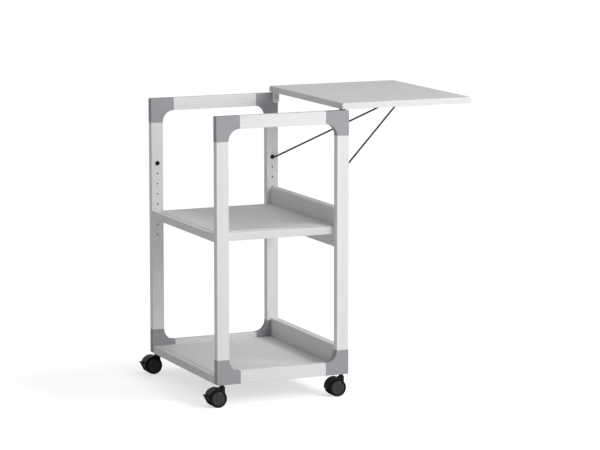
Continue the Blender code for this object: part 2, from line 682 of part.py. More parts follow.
def build_castor(datum, end, side, hard, tyre, steel):
    """One twin-wheel castor; the front ones have a brake lever."""
    way = ENDS[end]
    sign = SIDES[side]
    where = f"{end}_{side}"
    swivel = empty(f"castor_axis_{where}", (sign * FRAME_MID_X, way * STEM_Y, 0), datum)
    centre = Vector((0, -TRAIL, WHEEL_RADIUS))

    name = f"castor_stem_{where}"
    low = HOOD_TOP - STEM_IN_HOOD
    shank = STEM_DIAMETER / 2
    collar = COLLAR_DIAMETER / 2
    seat = HOOD_TOP + GAP
    top = seat + COLLAR_HEIGHT
    profile = [(shank, low), (shank, seat), (collar, seat), (collar, top), (shank, top),
               (shank, FRAME_BOTTOM + STEM_IN_BLOCK)]
    add_object(name, turned(name, profile, "Z"), steel, swivel)

    name = f"castor_hood_{where}"
    half = HOOD_WIDTH / 2
    hood = add_object(name, prism(name, hood_outline(), -half, half), hard, swivel, centre)
    web = prism(f"{name}_web", web_outline(), -WEB_THICK / 2, WEB_THICK / 2)
    cut(hood, f"{name}_web", web, centre, "UNION")
    boss_low = HOOD_TOP - HOOD_BOSS_HEIGHT
    boss = turned(f"{name}_boss", [(HOOD_BOSS / 2, boss_low), (HOOD_BOSS / 2, HOOD_TOP)], "Z", ROUND_SEGMENTS)
    cut(hood, f"{name}_boss", boss, operation="UNION")
    room = WHEEL_RADIUS + WHEEL_CLEARANCE
    for number, wheel_side in enumerate((1, -1)):
        profile = [(room, wheel_side * WEB_THICK / 2), (room, wheel_side * HOOD_WIDTH)]
        space = turned(f"{name}_wheel_room_{number}", profile, "X", ROUND_SEGMENTS)
        cut(hood, f"{name}_wheel_room_{number}", space, centre)
    bore = STEM_DIAMETER / 2 + GAP
    socket = turned(f"{name}_socket", [(bore, low - GAP), (bore, FRAME_BOTTOM)], "Z")
    cut(hood, f"{name}_socket", socket)
    bore = AXLE_DIAMETER / 2 + GAP
    drill = turned(f"{name}_axle_hole", [(bore, -WEB_THICK), (bore, WEB_THICK)], "X")
    cut(hood, f"{name}_axle_hole", drill, centre)

    name = f"castor_axle_{where}"
    reach = WHEEL_INNER_X + AXLE_IN_WHEEL
    axle = turned(name, [(AXLE_DIAMETER / 2, -reach), (AXLE_DIAMETER / 2, reach)], "X")
    add_object(name, axle, steel, swivel, centre)

    for number, wheel_side in (("outer", sign), ("inner", -sign)):
        name = f"castor_wheel_{number}_{where}"
        holder = empty(f"{name}_axis", centre, swivel)
        add_object(name, wheel_mesh(name, wheel_side), tyre, holder, (wheel_side * WHEEL_INNER_X, 0, 0))

    if end == "front":
        name = f"brake_lever_{side}"
        angle = math.radians(LEVER_ANGLE)
        pivot = centre + Vector((0, LEVER_PIVOT * math.cos(angle), LEVER_PIVOT * math.sin(angle)))
        holder = empty(f"{name}_axis", pivot, swivel)
        arm = lever_outline(0, LEVER_THICK / 2)
        lever = add_object(name, prism(name, arm, -LEVER_HALF, LEVER_HALF), hard, holder)
        outside = LEVER_PIVOT - HOOD_RADIUS - LEVER_PAD_OUT
        pad = lever_outline(outside, LEVER_THICK / 2 + LEVER_PAD_EXTRA)
        pad_mesh = prism(f"{name}_pad", pad, -LEVER_PAD_HALF, LEVER_PAD_HALF)
        cut(lever, f"{name}_pad", pad_mesh, operation="UNION")
        slot_half = LEVER_HALF + GAP
        inside = LEVER_SLOT_BACK
        outside = -LEVER_REACH
        slot = [(inside, -LEVER_SLOT_LOW), (inside, inside), (outside, LEVER_SLOT_HIGH)]
        slot.append((outside, -LEVER_SLOT_LOW))
        cut(hood, f"{name}_slot", prism(f"{name}_slot", slot, -slot_half, slot_half), pivot)


# ---- The cart ------------------------------------------------------------------------

def main():
    for old in list(bpy.data.objects):
        bpy.data.objects.remove(old, do_unlink=True)
    profile = material("profile_lacquer", (0.80, 0.80, 0.80), 0.38)
    block = material("block_grey", (0.36, 0.35, 0.38), 0.50)
    powder = material("powder_coat", (0.66, 0.66, 0.65), 0.45)
    steel = material("zinc_steel", (0.55, 0.55, 0.56), 0.30, 1.0)
    wire = material("stay_wire", (0.16, 0.16, 0.17), 0.35, 0.8)
    plastic = material("black_plastic", (0.02, 0.02, 0.022), 0.45)
    tyre = material("wheel_polyamide", (0.05, 0.05, 0.055), 0.40)

    datum = empty("cart_datum", (0, DATUM_Y, 0))
    build_uprights(datum, profile)
    build_beams(datum, profile)
    build_blocks(datum, block)
    build_shelves(datum, powder, steel)
    build_fold(datum, powder, steel, plastic, wire)
    for end in ENDS:
        for side in SIDES:
            build_castor(datum, end, side, plastic, tyre, steel)


main()
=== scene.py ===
"""Looks of the instrument cart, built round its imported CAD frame.

Each sub-assembly is a class with its sizes as fields. It reads where the CAD nodes
are, models the shown pieces there with Blender's own operators, gives them their
finish and lets them ride on the bodies that move. Parts that occur on both sides or
at every corner are modelled once, at the right or front right, and copied.
Lengths are metres; +Z is up, and +Y is the cart's back, where the shelf folds.
"""

from __future__ import annotations

import json
import logging
import math
from contextlib import contextmanager
from dataclasses import dataclass
from enum import Enum
from typing import Callable, Iterable, Iterator, Sequence

import bmesh
import bpy
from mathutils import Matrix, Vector


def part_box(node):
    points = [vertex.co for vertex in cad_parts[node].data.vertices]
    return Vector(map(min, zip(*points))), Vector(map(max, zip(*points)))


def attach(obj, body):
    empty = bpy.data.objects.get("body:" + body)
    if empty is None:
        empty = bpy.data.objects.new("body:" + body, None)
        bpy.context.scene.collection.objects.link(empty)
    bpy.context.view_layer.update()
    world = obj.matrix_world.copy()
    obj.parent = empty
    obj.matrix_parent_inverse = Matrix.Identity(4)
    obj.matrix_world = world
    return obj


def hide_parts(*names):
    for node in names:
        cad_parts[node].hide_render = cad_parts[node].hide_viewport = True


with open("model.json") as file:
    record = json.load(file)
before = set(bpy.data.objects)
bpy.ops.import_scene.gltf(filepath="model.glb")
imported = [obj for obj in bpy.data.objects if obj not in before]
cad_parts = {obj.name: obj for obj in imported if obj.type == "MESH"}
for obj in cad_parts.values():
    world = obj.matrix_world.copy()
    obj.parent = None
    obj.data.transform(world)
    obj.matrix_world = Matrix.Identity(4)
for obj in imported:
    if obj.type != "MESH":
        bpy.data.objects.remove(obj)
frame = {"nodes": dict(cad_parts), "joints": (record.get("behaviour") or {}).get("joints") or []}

MM = 0.001
NEAR = 0.01 * MM
FLAT_WEIGHT = 60
LOG = logging.getLogger("instrument_cart")

Piece = bpy.types.Object
Socket = bpy.types.NodeSocket
Material = bpy.types.Material
Place = Sequence[float]
Pair = tuple[float, float]
Colour = tuple[float, float, float]
Test = Callable[[Vector, Vector], bool]


class Axis(Enum):
    """One of the three directions of the cart."""

    X = (1, 0, 0)
    Y = (0, 1, 0)
    Z = (0, 0, 1)

    @property
    def vector(self) -> Vector:
        """Unit vector along the axis."""
        return Vector(self.value)

    @property
    def turn(self) -> Colour:
        """Rotation that lays a part standing along Z along this axis."""
        quarter = math.radians(90)
        return {Axis.X: (0, quarter, 0), Axis.Y: (quarter, 0, 0), Axis.Z: (0, 0, 0)}[self]


class Word(Enum):
    """An option whose name also stands in the pieces' names."""

    @property
    def word(self) -> str:
        """The option as it stands in the names."""
        return self.name.lower()


class Side(Word):
    """Side of the cart, with its sign along X."""

    RIGHT = 1
    LEFT = -1


class End(Word):
    """End of the cart, with its sign along Y."""

    FRONT = -1
    BACK = 1


class Level(Word):
    """Height in the side frame, with its sign along Z."""

    TOP = 1
    BOTTOM = -1


CORNERS = [(end, side, f"{end.word}_{side.word}") for end in End for side in Side]


# ---- The workbench --------------------------------------------------------------


class Workbench:
    """Blender's modelling operators, used as by hand on one piece at a time."""

    @staticmethod
    def clear() -> None:
        """Deselect every object."""
        bpy.ops.object.select_all(action="DESELECT")

    @classmethod
    def pick(cls, piece: Piece) -> None:
        """Select one piece alone and make it active.

        Args:
            piece: The piece to work on.
        """
        cls.clear()
        piece.select_set(True)
        bpy.context.view_layer.objects.active = piece

    @classmethod
    @contextmanager
    def editing(cls, piece: Piece, mode: str = "FACE", whole: bool = False) -> Iterator[None]:
        """Hold a piece in edit mode.

        Args:
            piece: The piece to edit.
            mode: VERT, EDGE or FACE.
            whole: Whether all of it is selected first.
        """
        cls.pick(piece)
        bpy.ops.object.mode_set(mode="EDIT")
        bpy.ops.mesh.select_mode(type=mode)
        if whole:
            bpy.ops.mesh.select_all(action="SELECT")
        yield
        bpy.ops.object.mode_set(mode="OBJECT")

    @classmethod
    def settle(cls, piece: Piece) -> None:
        """Put a piece's place, turn and scale into its mesh."""
        cls.pick(piece)
        bpy.ops.object.transform_apply(location=True, rotation=True, scale=True)

    @classmethod
    def take(cls, name: str) -> Piece:
        """Name and settle the object that was just added.

        Args:
            name: The object's name.

        Returns:
            The object.
        """
        piece = bpy.context.active_object
        piece.name = name
        cls.settle(piece)
        return piece

    @classmethod
    def box(cls, name: str, low: Place, high: Place) -> Piece:
        """Add a box between two corners.

        Args:
            name: The object's name.
            low: Lowest corner.
            high: Highest corner.

        Returns:
            The new object.
        """
        low, high = Vector(low), Vector(high)
        cls.clear()
        bpy.ops.mesh.primitive_cube_add(size=1, location=(low + high) / 2, scale=high - low)
        return cls.take(name)

    @classmethod
    def drum(cls, name: str, centre: Place, radius: float, depth: float, axis: Axis,
             sides: int = 32) -> Piece:
        """Add a cylinder centred at a place.

        Args:
            name: The object's name.
            centre: Middle of the cylinder.
            radius: Its radius.
            depth: Its length along the axis.
            axis: The way it lies.
            sides: Number of its sides.

        Returns:
            The new object.
        """
        cls.clear()
        bpy.ops.mesh.primitive_cylinder_add(vertices=sides, radius=radius, depth=depth,
                                            location=centre, rotation=axis.turn)
        return cls.take(name)

    @staticmethod
    def choose(piece: Piece, mode: str, test: Test) -> None:
        """Select the faces or edges that pass a test, in edit mode.

        Args:
            piece: The piece being edited.
            mode: FACE or EDGE.
            test: Takes a face's centre and normal, or an edge's middle and unit direction.
        """
        bpy.ops.mesh.select_mode(type=mode)
        bpy.ops.mesh.select_all(action="DESELECT")
        mesh = bmesh.from_edit_mesh(piece.data)
        for part in mesh.faces if mode == "FACE" else mesh.edges:
            if mode == "FACE":
                at, way = part.calc_center_median(), part.normal
            else:
                first, second = (vertex.co for vertex in part.verts)
                at, way = (first + second) / 2, (second - first).normalized()
            if test(at, way):
                part.select_set(True)
        bmesh.update_edit_mesh(piece.data)

    @staticmethod
    def face_out(weld: float = 0.0) -> None:
        """Point all faces of the edited piece outwards.

        Args:
            weld: Vertices closer than this are merged first.
        """
        bpy.ops.mesh.select_all(action="SELECT")
        if weld:
            bpy.ops.mesh.remove_doubles(threshold=weld)
        bpy.ops.mesh.normals_make_consistent(inside=False)

    @classmethod
    def bevel(cls, piece: Piece, test: Test, width: float, steps: int) -> None:
        """Round the edges that pass a test.

        Args:
            piece: The piece.
            test: Takes an edge's middle and its unit direction.
            width: Radius of the rounding.
            steps: Number of its segments.
        """
        with cls.editing(piece, "EDGE"):
            cls.choose(piece, "EDGE", test)
            bpy.ops.mesh.bevel(offset=width, offset_type="OFFSET", segments=steps, profile=0.5,
                               affect="EDGES")

    @classmethod
    def bisect(cls, piece: Piece, places: Iterable[float], axis: Axis) -> None:
        """Cut a piece across an axis, without taking anything away.

        Args:
            piece: The piece.
            places: Where the cuts lie along the axis.
            axis: The direction square to the cuts.
        """
        with cls.editing(piece):
            for place in places:
                bpy.ops.mesh.select_all(action="SELECT")
                bpy.ops.mesh.bisect(plane_co=axis.vector * place, plane_no=axis.vector)

    @classmethod
    def modify(cls, piece: Piece, kind: str, **settings: object) -> None:
        """Add a modifier, set it and apply it.

        Args:
            piece: The piece.
            kind: The modifier's type.
            settings: Its properties.
        """
        cls.pick(piece)
        bpy.ops.object.modifier_add(type=kind)
        step = piece.modifiers[-1]
        for key, value in settings.items():
            setattr(step, key, value)
        bpy.ops.object.modifier_apply(modifier=step.name)

    @classmethod
    def combine(cls, piece: Piece, tool: Piece, operation: str = "DIFFERENCE") -> None:
        """Cut a tool out of a piece, or unite the two, and clear the tool away.

        Args:
            piece: The piece that stays.
            tool: The tool, which is removed.
            operation: DIFFERENCE or UNION.
        """
        cls.modify(piece, "BOOLEAN", operation=operation, object=tool, solver="EXACT")
        cls.discard(tool)

    @classmethod
    def clean(cls, piece: Piece) -> None:
        """Merge the doubles and slivers that cutting leaves behind.

        Args:
            piece: The piece.
        """
        with cls.editing(piece, "VERT", whole=True):
            bpy.ops.mesh.remove_doubles(threshold=0.005 * MM)
            bpy.ops.mesh.dissolve_degenerate(threshold=0.002 * MM)
            bpy.ops.mesh.delete_loose()

    @classmethod
    def soften(cls, piece: Piece, width: float, steps: int = 2, angle: float = 50.0) -> None:
        """Round all of a piece's sharp edges a little.

        Args:
            piece: The piece.
            width: Width of the rounding.
            steps: Number of its segments.
            angle: Edges sharper than this, in degrees, are rounded.
        """
        cls.modify(piece, "BEVEL", width=width, segments=steps, limit_method="ANGLE",
                   angle_limit=math.radians(angle), use_clamp_overlap=True, harden_normals=False)

    @classmethod
    def copy(cls, piece: Piece, name: str, shift: Place = (0, 0, 0),
             mirror: Place = (1, 1, 1), centre: Place = (0, 0, 0)) -> Piece:
        """Copy a piece, each copy with its own mesh.

        Args:
            piece: What is copied.
            name: The copy's name.
            shift: How far the copy is moved.
            mirror: -1 for each axis that the copy is mirrored across.
            centre: The point that it is mirrored about.

        Returns:
            The copy.
        """
        cls.pick(piece)
        bpy.ops.object.duplicate(linked=False)
        twin = bpy.context.active_object
        twin.name = name
        with cls.editing(twin, whole=True):
            if min(mirror) < 0:
                bpy.ops.transform.resize(value=mirror, center_override=centre)
                if mirror[0] * mirror[1] * mirror[2] < 0:
                    bpy.ops.mesh.flip_normals()
            if any(shift):
                bpy.ops.transform.translate(value=shift)
        return twin

    @staticmethod
    def discard(*pieces: Piece) -> None:
        """Remove pieces that were only cut with or copied from."""
        for piece in pieces:
            bpy.data.objects.remove(piece, do_unlink=True)

    @classmethod
    def trace(cls, name: str, points: Sequence[Place]) -> Piece:
        """Draw an open line by extruding one vertex from point to point.

        Args:
            name: The object's name.
            points: The line's points.

        Returns:
            The new object, with all of its line selected.
        """
        cls.clear()
        bpy.ops.mesh.primitive_plane_add(size=1, location=points[0])
        piece = cls.take(name)
        with cls.editing(piece, "VERT", whole=True):
            bpy.ops.mesh.merge(type="CENTER")
            for before, after in zip(points, points[1:]):
                step = Vector(after) - Vector(before)
                bpy.ops.mesh.extrude_region_move(TRANSFORM_OT_translate={"value": step})
            bpy.ops.mesh.select_all(action="SELECT")
        return piece

    @classmethod
    def lathe(cls, name: str, outline: Sequence[Pair], centre: Place, axis: Axis,
              steps: int = 48) -> Piece:
        """Turn an outline into a solid or a ring.

        Args:
            name: The object's name.
            outline: Pairs of radius and place along the axis.
            centre: Where the axis passes; places are counted from here.
            axis: The axis of turning.
            steps: Segments of a full turn.

        Returns:
            The new object.
        """
        centre = Vector(centre)
        out = Axis.Z.vector if axis is not Axis.Z else Axis.X.vector
        piece = cls.trace(name, [centre + out * radius + axis.vector * place for radius, place in outline])
        with cls.editing(piece, "VERT", whole=True):
            bpy.ops.mesh.spin(steps=steps, angle=2 * math.pi, center=centre, axis=axis.vector, dupli=False)
            Workbench.face_out(NEAR)
        return piece

    @classmethod
    def plate(cls, name: str, outline: Sequence[Pair], start: float,
              end: float) -> Piece:
        """Extrude a closed Y-Z outline along X.

        Args:
            name: The object's name.
            outline: The outline's points (y, z).
            start: X of its first face.
            end: X of its second face.

        Returns:
            The new object.
        """
        piece = cls.trace(name, [(start, y, z) for y, z in outline])
        with cls.editing(piece, "VERT", whole=True):
            bpy.ops.mesh.edge_face_add()
            bpy.ops.mesh.select_mode(type="FACE")
            bpy.ops.mesh.select_all(action="SELECT")
            bpy.ops.mesh.extrude_region_move(TRANSFORM_OT_translate={"value": (end - start, 0, 0)})
            Workbench.face_out()
        return piece

    @classmethod
    def loft(cls, name: str, rings: Sequence["Ring"], facing: Axis = Axis.Z,
             steps: int = 6) -> Piece:
        """Bridge rounded rectangles into one closed sheet or solid.

        Args:
            name: The object's name.
            rings: The rectangles in order, the first and the last one capped.
            facing: The axis square to all of them, Y or Z.
            steps: Segments of each rounded corner.

        Returns:
            The new object.
        """
        cls.clear()
        bpy.ops.mesh.primitive_plane_add(size=1)
        piece = cls.take(name)
        with cls.editing(piece, "VERT"):
            bpy.ops.mesh.delete(type="VERT")
            bmesh.from_edit_mesh(piece.data).verts.layers.int.new("ring")
            bmesh.update_edit_mesh(piece.data)
            for number, ring in enumerate(rings):
                cls._add_ring(piece, ring, number, facing, steps)
            bpy.ops.mesh.select_mode(type="EDGE")
            for number in range(len(rings) - 1):
                cls._choose_rings(piece, {number, number + 1})
                bpy.ops.mesh.bridge_edge_loops()
            for number in (0, len(rings) - 1):
                cls._choose_rings(piece, {number})
                bpy.ops.mesh.edge_face_add()
            Workbench.face_out()
        piece.data.attributes.remove(piece.data.attributes["ring"])
        return piece

    @staticmethod
    def _add_ring(piece: Piece, ring: "Ring", number: int, facing: Axis, steps: int) -> None:
        """Add one rounded rectangle to a loft and mark its vertices.

        Args:
            piece: The piece being edited.
            ring: The rectangle.
            number: Its mark.
            facing: The axis square to it.
            steps: Segments of each rounded corner.
        """
        width, height = (high - low for low, high in zip(ring.low, ring.high))
        u, v = ((low + high) / 2 for low, high in zip(ring.low, ring.high))
        level = facing is Axis.Z
        place = (u, v, ring.at) if level else (u, ring.at, v)
        size = (width, height, 1) if level else (width, 1, height)
        turn = (0, 0, 0) if level else (math.radians(90), 0, 0)
        bpy.ops.mesh.select_mode(type="VERT")
        bpy.ops.mesh.select_all(action="DESELECT")
        bpy.ops.mesh.primitive_plane_add(size=1, location=place, rotation=turn)
        bpy.ops.transform.resize(value=size, center_override=place)
        bpy.ops.mesh.bevel(offset=ring.radius, offset_type="OFFSET", segments=steps, profile=0.5,
                           affect="VERTICES")
        mesh = bmesh.from_edit_mesh(piece.data)
        mark = mesh.verts.layers.int["ring"]
        for vertex in mesh.verts:
            if vertex.select:
                vertex[mark] = number + 1
        bmesh.update_edit_mesh(piece.data)
        bpy.ops.mesh.delete(type="ONLY_FACE")

    @staticmethod
    def _choose_rings(piece: Piece, numbers: set[int]) -> None:
        """Select the edges that lie within the given rings.

        Args:
            piece: The piece being edited.
            numbers: The rings' marks.
        """
        bpy.ops.mesh.select_all(action="DESELECT")
        mesh = bmesh.from_edit_mesh(piece.data)
        mark = mesh.verts.layers.int["ring"]
        for edge in mesh.edges:
            first, second = (vertex[mark] - 1 for vertex in edge.verts)
            if first == second and first in numbers:
                edge.select_set(True)
        bmesh.update_edit_mesh(piece.data)

    @classmethod
    def refine(cls, node: str, name: str, width: float, steps: int, angle: float) -> Piece:
        """Copy a CAD node, clean the copy's mesh and round its edges.

        Args:
            node: The CAD node.
            name: The copy's name.
            width: Width of the rounding.
            steps: Segments of the rounding.
            angle: Edges sharper than this, in degrees, are rounded.

        Returns:
            The copy.
        """
        source = frame["nodes"][node]
        twin = bpy.data.objects.new(name, source.data.copy())
        bpy.context.scene.collection.objects.link(twin)
        twin.data.materials.clear()
        with cls.editing(twin, "VERT", whole=True):
            bpy.ops.mesh.remove_doubles(threshold=NEAR)
            bpy.ops.mesh.dissolve_limited(angle_limit=math.radians(1.0))
        if twin.data.has_custom_normals:
            bpy.ops.mesh.customdata_custom_splitnormals_clear()
        cls.soften(twin, width, steps, angle)
        cls.clean(twin)
        return twin


@dataclass(frozen=True)
class Ring:
    """A rounded rectangle, one step of a loft."""

    low: Pair
    high: Pair
    at: float
    radius: float


def lies(way: Vector, axis: Axis) -> bool:
    """Whether an edge or a normal lies along an axis, either way."""
    return abs(way @ axis.vector) > 0.99


def arc(centre: Pair, radius: float, start: float, end: float,
        steps: int) -> list[Pair]:
    """Points of a flat arc.

    Args:
        centre: Its centre.
        radius: Its radius.
        start: First angle, in degrees.
        end: Last angle, in degrees.
        steps: Number of its segments.

    Returns:
        The points, both ends included.
    """
    points = []
    for number in range(steps + 1):
        angle = math.radians(start + (end - start) * number / steps)
        points.append((centre[0] + radius * math.cos(angle), centre[1] + radius * math.sin(angle)))
    return points


def rim(sheet: float) -> list[Pair]:
    """Half-round edge of a flange.

    Args:
        sheet: The sheet's thickness.

    Returns:
        Pairs of inset and height above the flange's edge, from outside to inside.
    """
    half = sheet / 2
    turns = [math.radians(180 * step / 6) for step in range(7)]
    return [(half * (1 - math.cos(turn)), half * (1 - math.sin(turn))) for turn in turns]


def fold(radius: float, steps: int) -> list[Pair]:
    """Rounded bend of a sheet, from its flat top outwards and down.

    Args:
        radius: Outer radius of the bend.
        steps: Number of its segments.

    Returns:
        Pairs of inset from the flange's outside and depth below the top.
    """
    turns = [math.radians(90 * step / steps) for step in range(steps, -1, -1)]
    return [(radius * (1 - math.cos(turn)), radius * (1 - math.sin(turn))) for turn in turns]


def middle(node: str) -> Vector:
    """Centre of a CAD node's box.

    Args:
        node: The CAD node.

    Returns:
        The centre.
    """
    low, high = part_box(node)
    return (low + high) / 2


# ---- Finishes --------------------------------------------------------------------


class NodeSheet:
    """A material's node tree, with short words for the nodes that finishes use."""

    def __init__(self, name: str) -> None:
        """Start a material.

        Args:
            name: The material's name.
        """
        self.material = bpy.data.materials.new(name)
        self.material.use_nodes = True
        self.tree = self.material.node_tree
        self.shader = self.tree.nodes["Principled BSDF"]
        self.place = self.tree.nodes.new("ShaderNodeTexCoord").outputs["Object"]

    def feed(self, socket: Socket, value: object) -> None:
        """Link a socket to an output, or set it to a value.

        Args:
            socket: The input.
            value: A node's output, a number or a colour.
        """
        if isinstance(value, Socket):
            self.tree.links.new(value, socket)
        else:
            socket.default_value = value

    def set(self, **values: object) -> None:
        """Set or link sockets of the shader, spaces written as underscores.

        Args:
            values: Socket names and what goes into them.
        """
        for key, value in values.items():
            self.feed(self.shader.inputs[key.replace("_", " ")], value)

    def noise(self, scale: float, detail: float = 2.0, rough: float = 0.5,
              stretch: Place = (1, 1, 1)) -> Socket:
        """Soft noise, finer along the axes that are stretched more.

        Args:
            scale: Cells per metre.
            detail: Octaves.
            rough: Weight of the finer octaves.
            stretch: Factor of the scale along each axis.

        Returns:
            The noise, from 0 to 1.
        """
        mapping = self.tree.nodes.new("ShaderNodeMapping")
        mapping.inputs["Scale"].default_value = stretch
        self.feed(mapping.inputs["Vector"], self.place)
        node = self.tree.nodes.new("ShaderNodeTexNoise")
        node.inputs["Scale"].default_value = scale
        node.inputs["Detail"].default_value = detail
        node.inputs["Roughness"].default_value = rough
        self.feed(node.inputs["Vector"], mapping.outputs["Vector"])
        return node.outputs["Fac"]

    def cells(self, scale: float) -> Socket:
        """Cell pattern of a moulded or sprayed grain.

        Args:
            scale: Cells per metre.

        Returns:
            Distance to the nearest cell's middle.
        """
        node = self.tree.nodes.new("ShaderNodeTexVoronoi")
        node.feature = "SMOOTH_F1"
        node.inputs["Scale"].default_value = scale
        node.inputs["Smoothness"].default_value = 0.6
        self.feed(node.inputs["Vector"], self.place)
        return node.outputs["Distance"]

    def span(self, source: Socket, start: float, end: float,
             low: float = 0.3, high: float = 0.7) -> Socket:
        """Map a pattern onto a range.

        Args:
            source: The pattern.
            start: Value where the pattern is at its low level.
            end: Value where the pattern is at its high level.
            low: The pattern's low level.
            high: The pattern's high level.

        Returns:
            The mapped value.
        """
        node = self.tree.nodes.new("ShaderNodeMapRange")
        self.feed(node.inputs["Value"], source)
        for key, value in (("From Min", low), ("From Max", high), ("To Min", start), ("To Max", end)):
            node.inputs[key].default_value = value
        return node.outputs["Result"]

    def blend(self, factor: object, first: object, second: object) -> Socket:
        """Mix two colours.

        Args:
            factor: How much of the second colour.
            first: First colour or output.
            second: Second colour or output.

        Returns:
            The mixed colour.
        """
        node = self.tree.nodes.new("ShaderNodeMix")
        node.data_type = "RGBA"
        for socket, value in ((node.inputs[0], factor), (node.inputs[6], first), (node.inputs[7], second)):
            self.feed(socket, (*value, 1.0) if isinstance(value, tuple) else value)
        return node.outputs[2]

    def add(self, first: object, second: object, way: str = "ADD") -> Socket:
        """Combine two numbers.

        Args:
            first: First number or output.
            second: Second number or output.
            way: ADD, MULTIPLY or another operation.

        Returns:
            The result.
        """
        node = self.tree.nodes.new("ShaderNodeMath")
        node.operation = way
        self.feed(node.inputs[0], first)
        self.feed(node.inputs[1], second)
        return node.outputs[0]

    def bump(self, source: Socket, depth: float, strength: float = 1.0) -> None:
        """Raise the surface by a pattern, on top of any bump before it.

        Args:
            source: The pattern.
            depth: Height of the pattern, in metres.
            strength: How strongly it shows.
        """
        node = self.tree.nodes.new("ShaderNodeBump")
        node.inputs["Strength"].default_value = strength
        node.inputs["Distance"].default_value = depth
        self.feed(node.inputs["Height"], source)
        linked = self.shader.inputs["Normal"].links
        if linked:
            self.feed(node.inputs["Normal"], linked[0].from_socket)
        self.set(Normal=node.outputs["Normal"])


@dataclass(frozen=True)
class Finish:
    """What every finish has: its name and the record's material slot."""

    name: str
    slot: str

    def material(self) -> Material:
        """Return the finish's material, made once."""
        return bpy.data.materials.get(self.name) or self.make()

    def make(self) -> Material:
        """Make the material."""
        raise NotImplementedError


@dataclass(frozen=True)
class ProfileLacquer(Finish):
    """Off-white lacquer on drawn profile, with faint lines along its length."""

    along: Axis = Axis.Z
    colour: Colour = (0.775, 0.775, 0.771)
    shade: Colour = (0.705, 0.705, 0.703)

    def make(self) -> Material:
        """Make the material.

        Returns:
            The lacquer.
        """
        sheet = NodeSheet(self.name)
        stretch = tuple(0.0015 if part else 1.0 for part in self.along.value)
        lines = sheet.noise(440, 2.0, 0.55, stretch)
        broad = sheet.noise(90, 1.0, 0.5, stretch)
        cloud = sheet.noise(9, 3.0, 0.5)
        peel = sheet.noise(900, 1.0, 0.5)
        drawn = sheet.span(sheet.add(lines, broad, "MULTIPLY"), 0.0, 0.75, 0.14, 0.40)
        base = sheet.blend(drawn, self.colour, self.shade)
        worn = sheet.blend(sheet.span(cloud, 0.0, 0.22), base, self.shade)
        sheet.set(Base_Color=worn, Roughness=sheet.span(cloud, 0.30, 0.40), Specular_IOR_Level=0.5)
        sheet.set(Coat_Weight=0.15, Coat_Roughness=0.22)
        sheet.bump(lines, 0.012 * MM, 0.15)
        sheet.bump(peel, 0.015 * MM, 0.15)
        return sheet.material


@dataclass(frozen=True)
class MouldedGrey(Finish):
    """Warm grey moulded plastic with a fine eroded grain."""

    colour: Colour = (0.335, 0.329, 0.353)
    shade: Colour = (0.292, 0.287, 0.309)

    def make(self) -> Material:
        """Make the material.

        Returns:
            The moulded plastic.
        """
        sheet = NodeSheet(self.name)
        grain = sheet.cells(1500)
        fine = sheet.noise(2600, 2.0, 0.6)
        flow = sheet.noise(26, 4.0, 0.55)
        fleck = sheet.span(fine, 0.0, 0.35, 0.45, 0.75)
        base = sheet.blend(sheet.span(flow, 0.0, 0.25), self.colour, self.shade)
        sheet.set(Base_Color=sheet.blend(fleck, base, self.shade), Specular_IOR_Level=0.45)
        sheet.set(Roughness=sheet.span(flow, 0.50, 0.56))
        sheet.bump(grain, 0.06 * MM, 0.35)
        sheet.bump(fine, 0.03 * MM, 0.25)
        return sheet.material


@dataclass(frozen=True)
class PowderCoat(Finish):
    """Light grey powder coat with its orange peel and fine specks."""

    colour: Colour = (0.715, 0.715, 0.707)
    speck: Colour = (0.64, 0.64, 0.633)

    def make(self) -> Material:
        """Make the material.

        Returns:
            The powder coat.
        """
        sheet = NodeSheet(self.name)
        peel = sheet.noise(420, 2.0, 0.45)
        fine = sheet.noise(1900, 2.0, 0.6)
        cloud = sheet.noise(5, 3.0, 0.5)
        specks = sheet.span(fine, 0.0, 0.55, 0.52, 0.72)
        base = sheet.blend(sheet.span(cloud, 0.0, 0.30), self.colour, self.speck)
        sheet.set(Base_Color=sheet.blend(specks, base, self.speck), Specular_IOR_Level=0.42)
        sheet.set(Roughness=sheet.add(sheet.span(cloud, 0.40, 0.47), sheet.span(peel, 0.0, 0.06)))
        sheet.bump(peel, 0.05 * MM, 0.35)
        sheet.bump(fine, 0.02 * MM, 0.25)
        return sheet.material


@dataclass(frozen=True)
class ZincSteel(Finish):
    """Bright zinc on steel, mottled and lightly scratched."""

    colour: Colour = (0.66, 0.66, 0.67)
    dull: Colour = (0.50, 0.50, 0.51)

    def make(self) -> Material:
        """Make the material.

        Returns:
            The plated steel.
        """
        sheet = NodeSheet(self.name)
        mottle = sheet.noise(160, 4.0, 0.6)
        scratch = sheet.noise(900, 2.0, 0.7, (1.0, 0.08, 1.0))
        base = sheet.blend(sheet.span(mottle, 0.0, 0.8), self.colour, self.dull)
        sheet.set(Base_Color=base, Metallic=1.0)
        sheet.set(Roughness=sheet.add(sheet.span(mottle, 0.26, 0.42), sheet.span(scratch, 0.0, 0.08)))
        sheet.bump(scratch, NEAR, 0.4)
        return sheet.material


@dataclass(frozen=True)
class DarkWire(Finish):
    """Burnished dark finish of the wire stay, drawn along its length."""

    colour: Colour = (0.028, 0.028, 0.031)
    rubbed: Colour = (0.065, 0.065, 0.070)

    def make(self) -> Material:
        """Make the material.

        Returns:
            The wire's finish.
        """
        sheet = NodeSheet(self.name)
        drawn = sheet.noise(700, 3.0, 0.6, (1.0, 0.12, 0.12))
        rub = sheet.noise(60, 4.0, 0.6)
        sheet.set(Base_Color=sheet.blend(sheet.span(rub, 0.0, 0.55, 0.45, 0.75), self.colour, self.rubbed))
        sheet.set(Metallic=0.55, Roughness=sheet.span(drawn, 0.30, 0.44))
        sheet.bump(drawn, 0.015 * MM, 0.4)
        return sheet.material


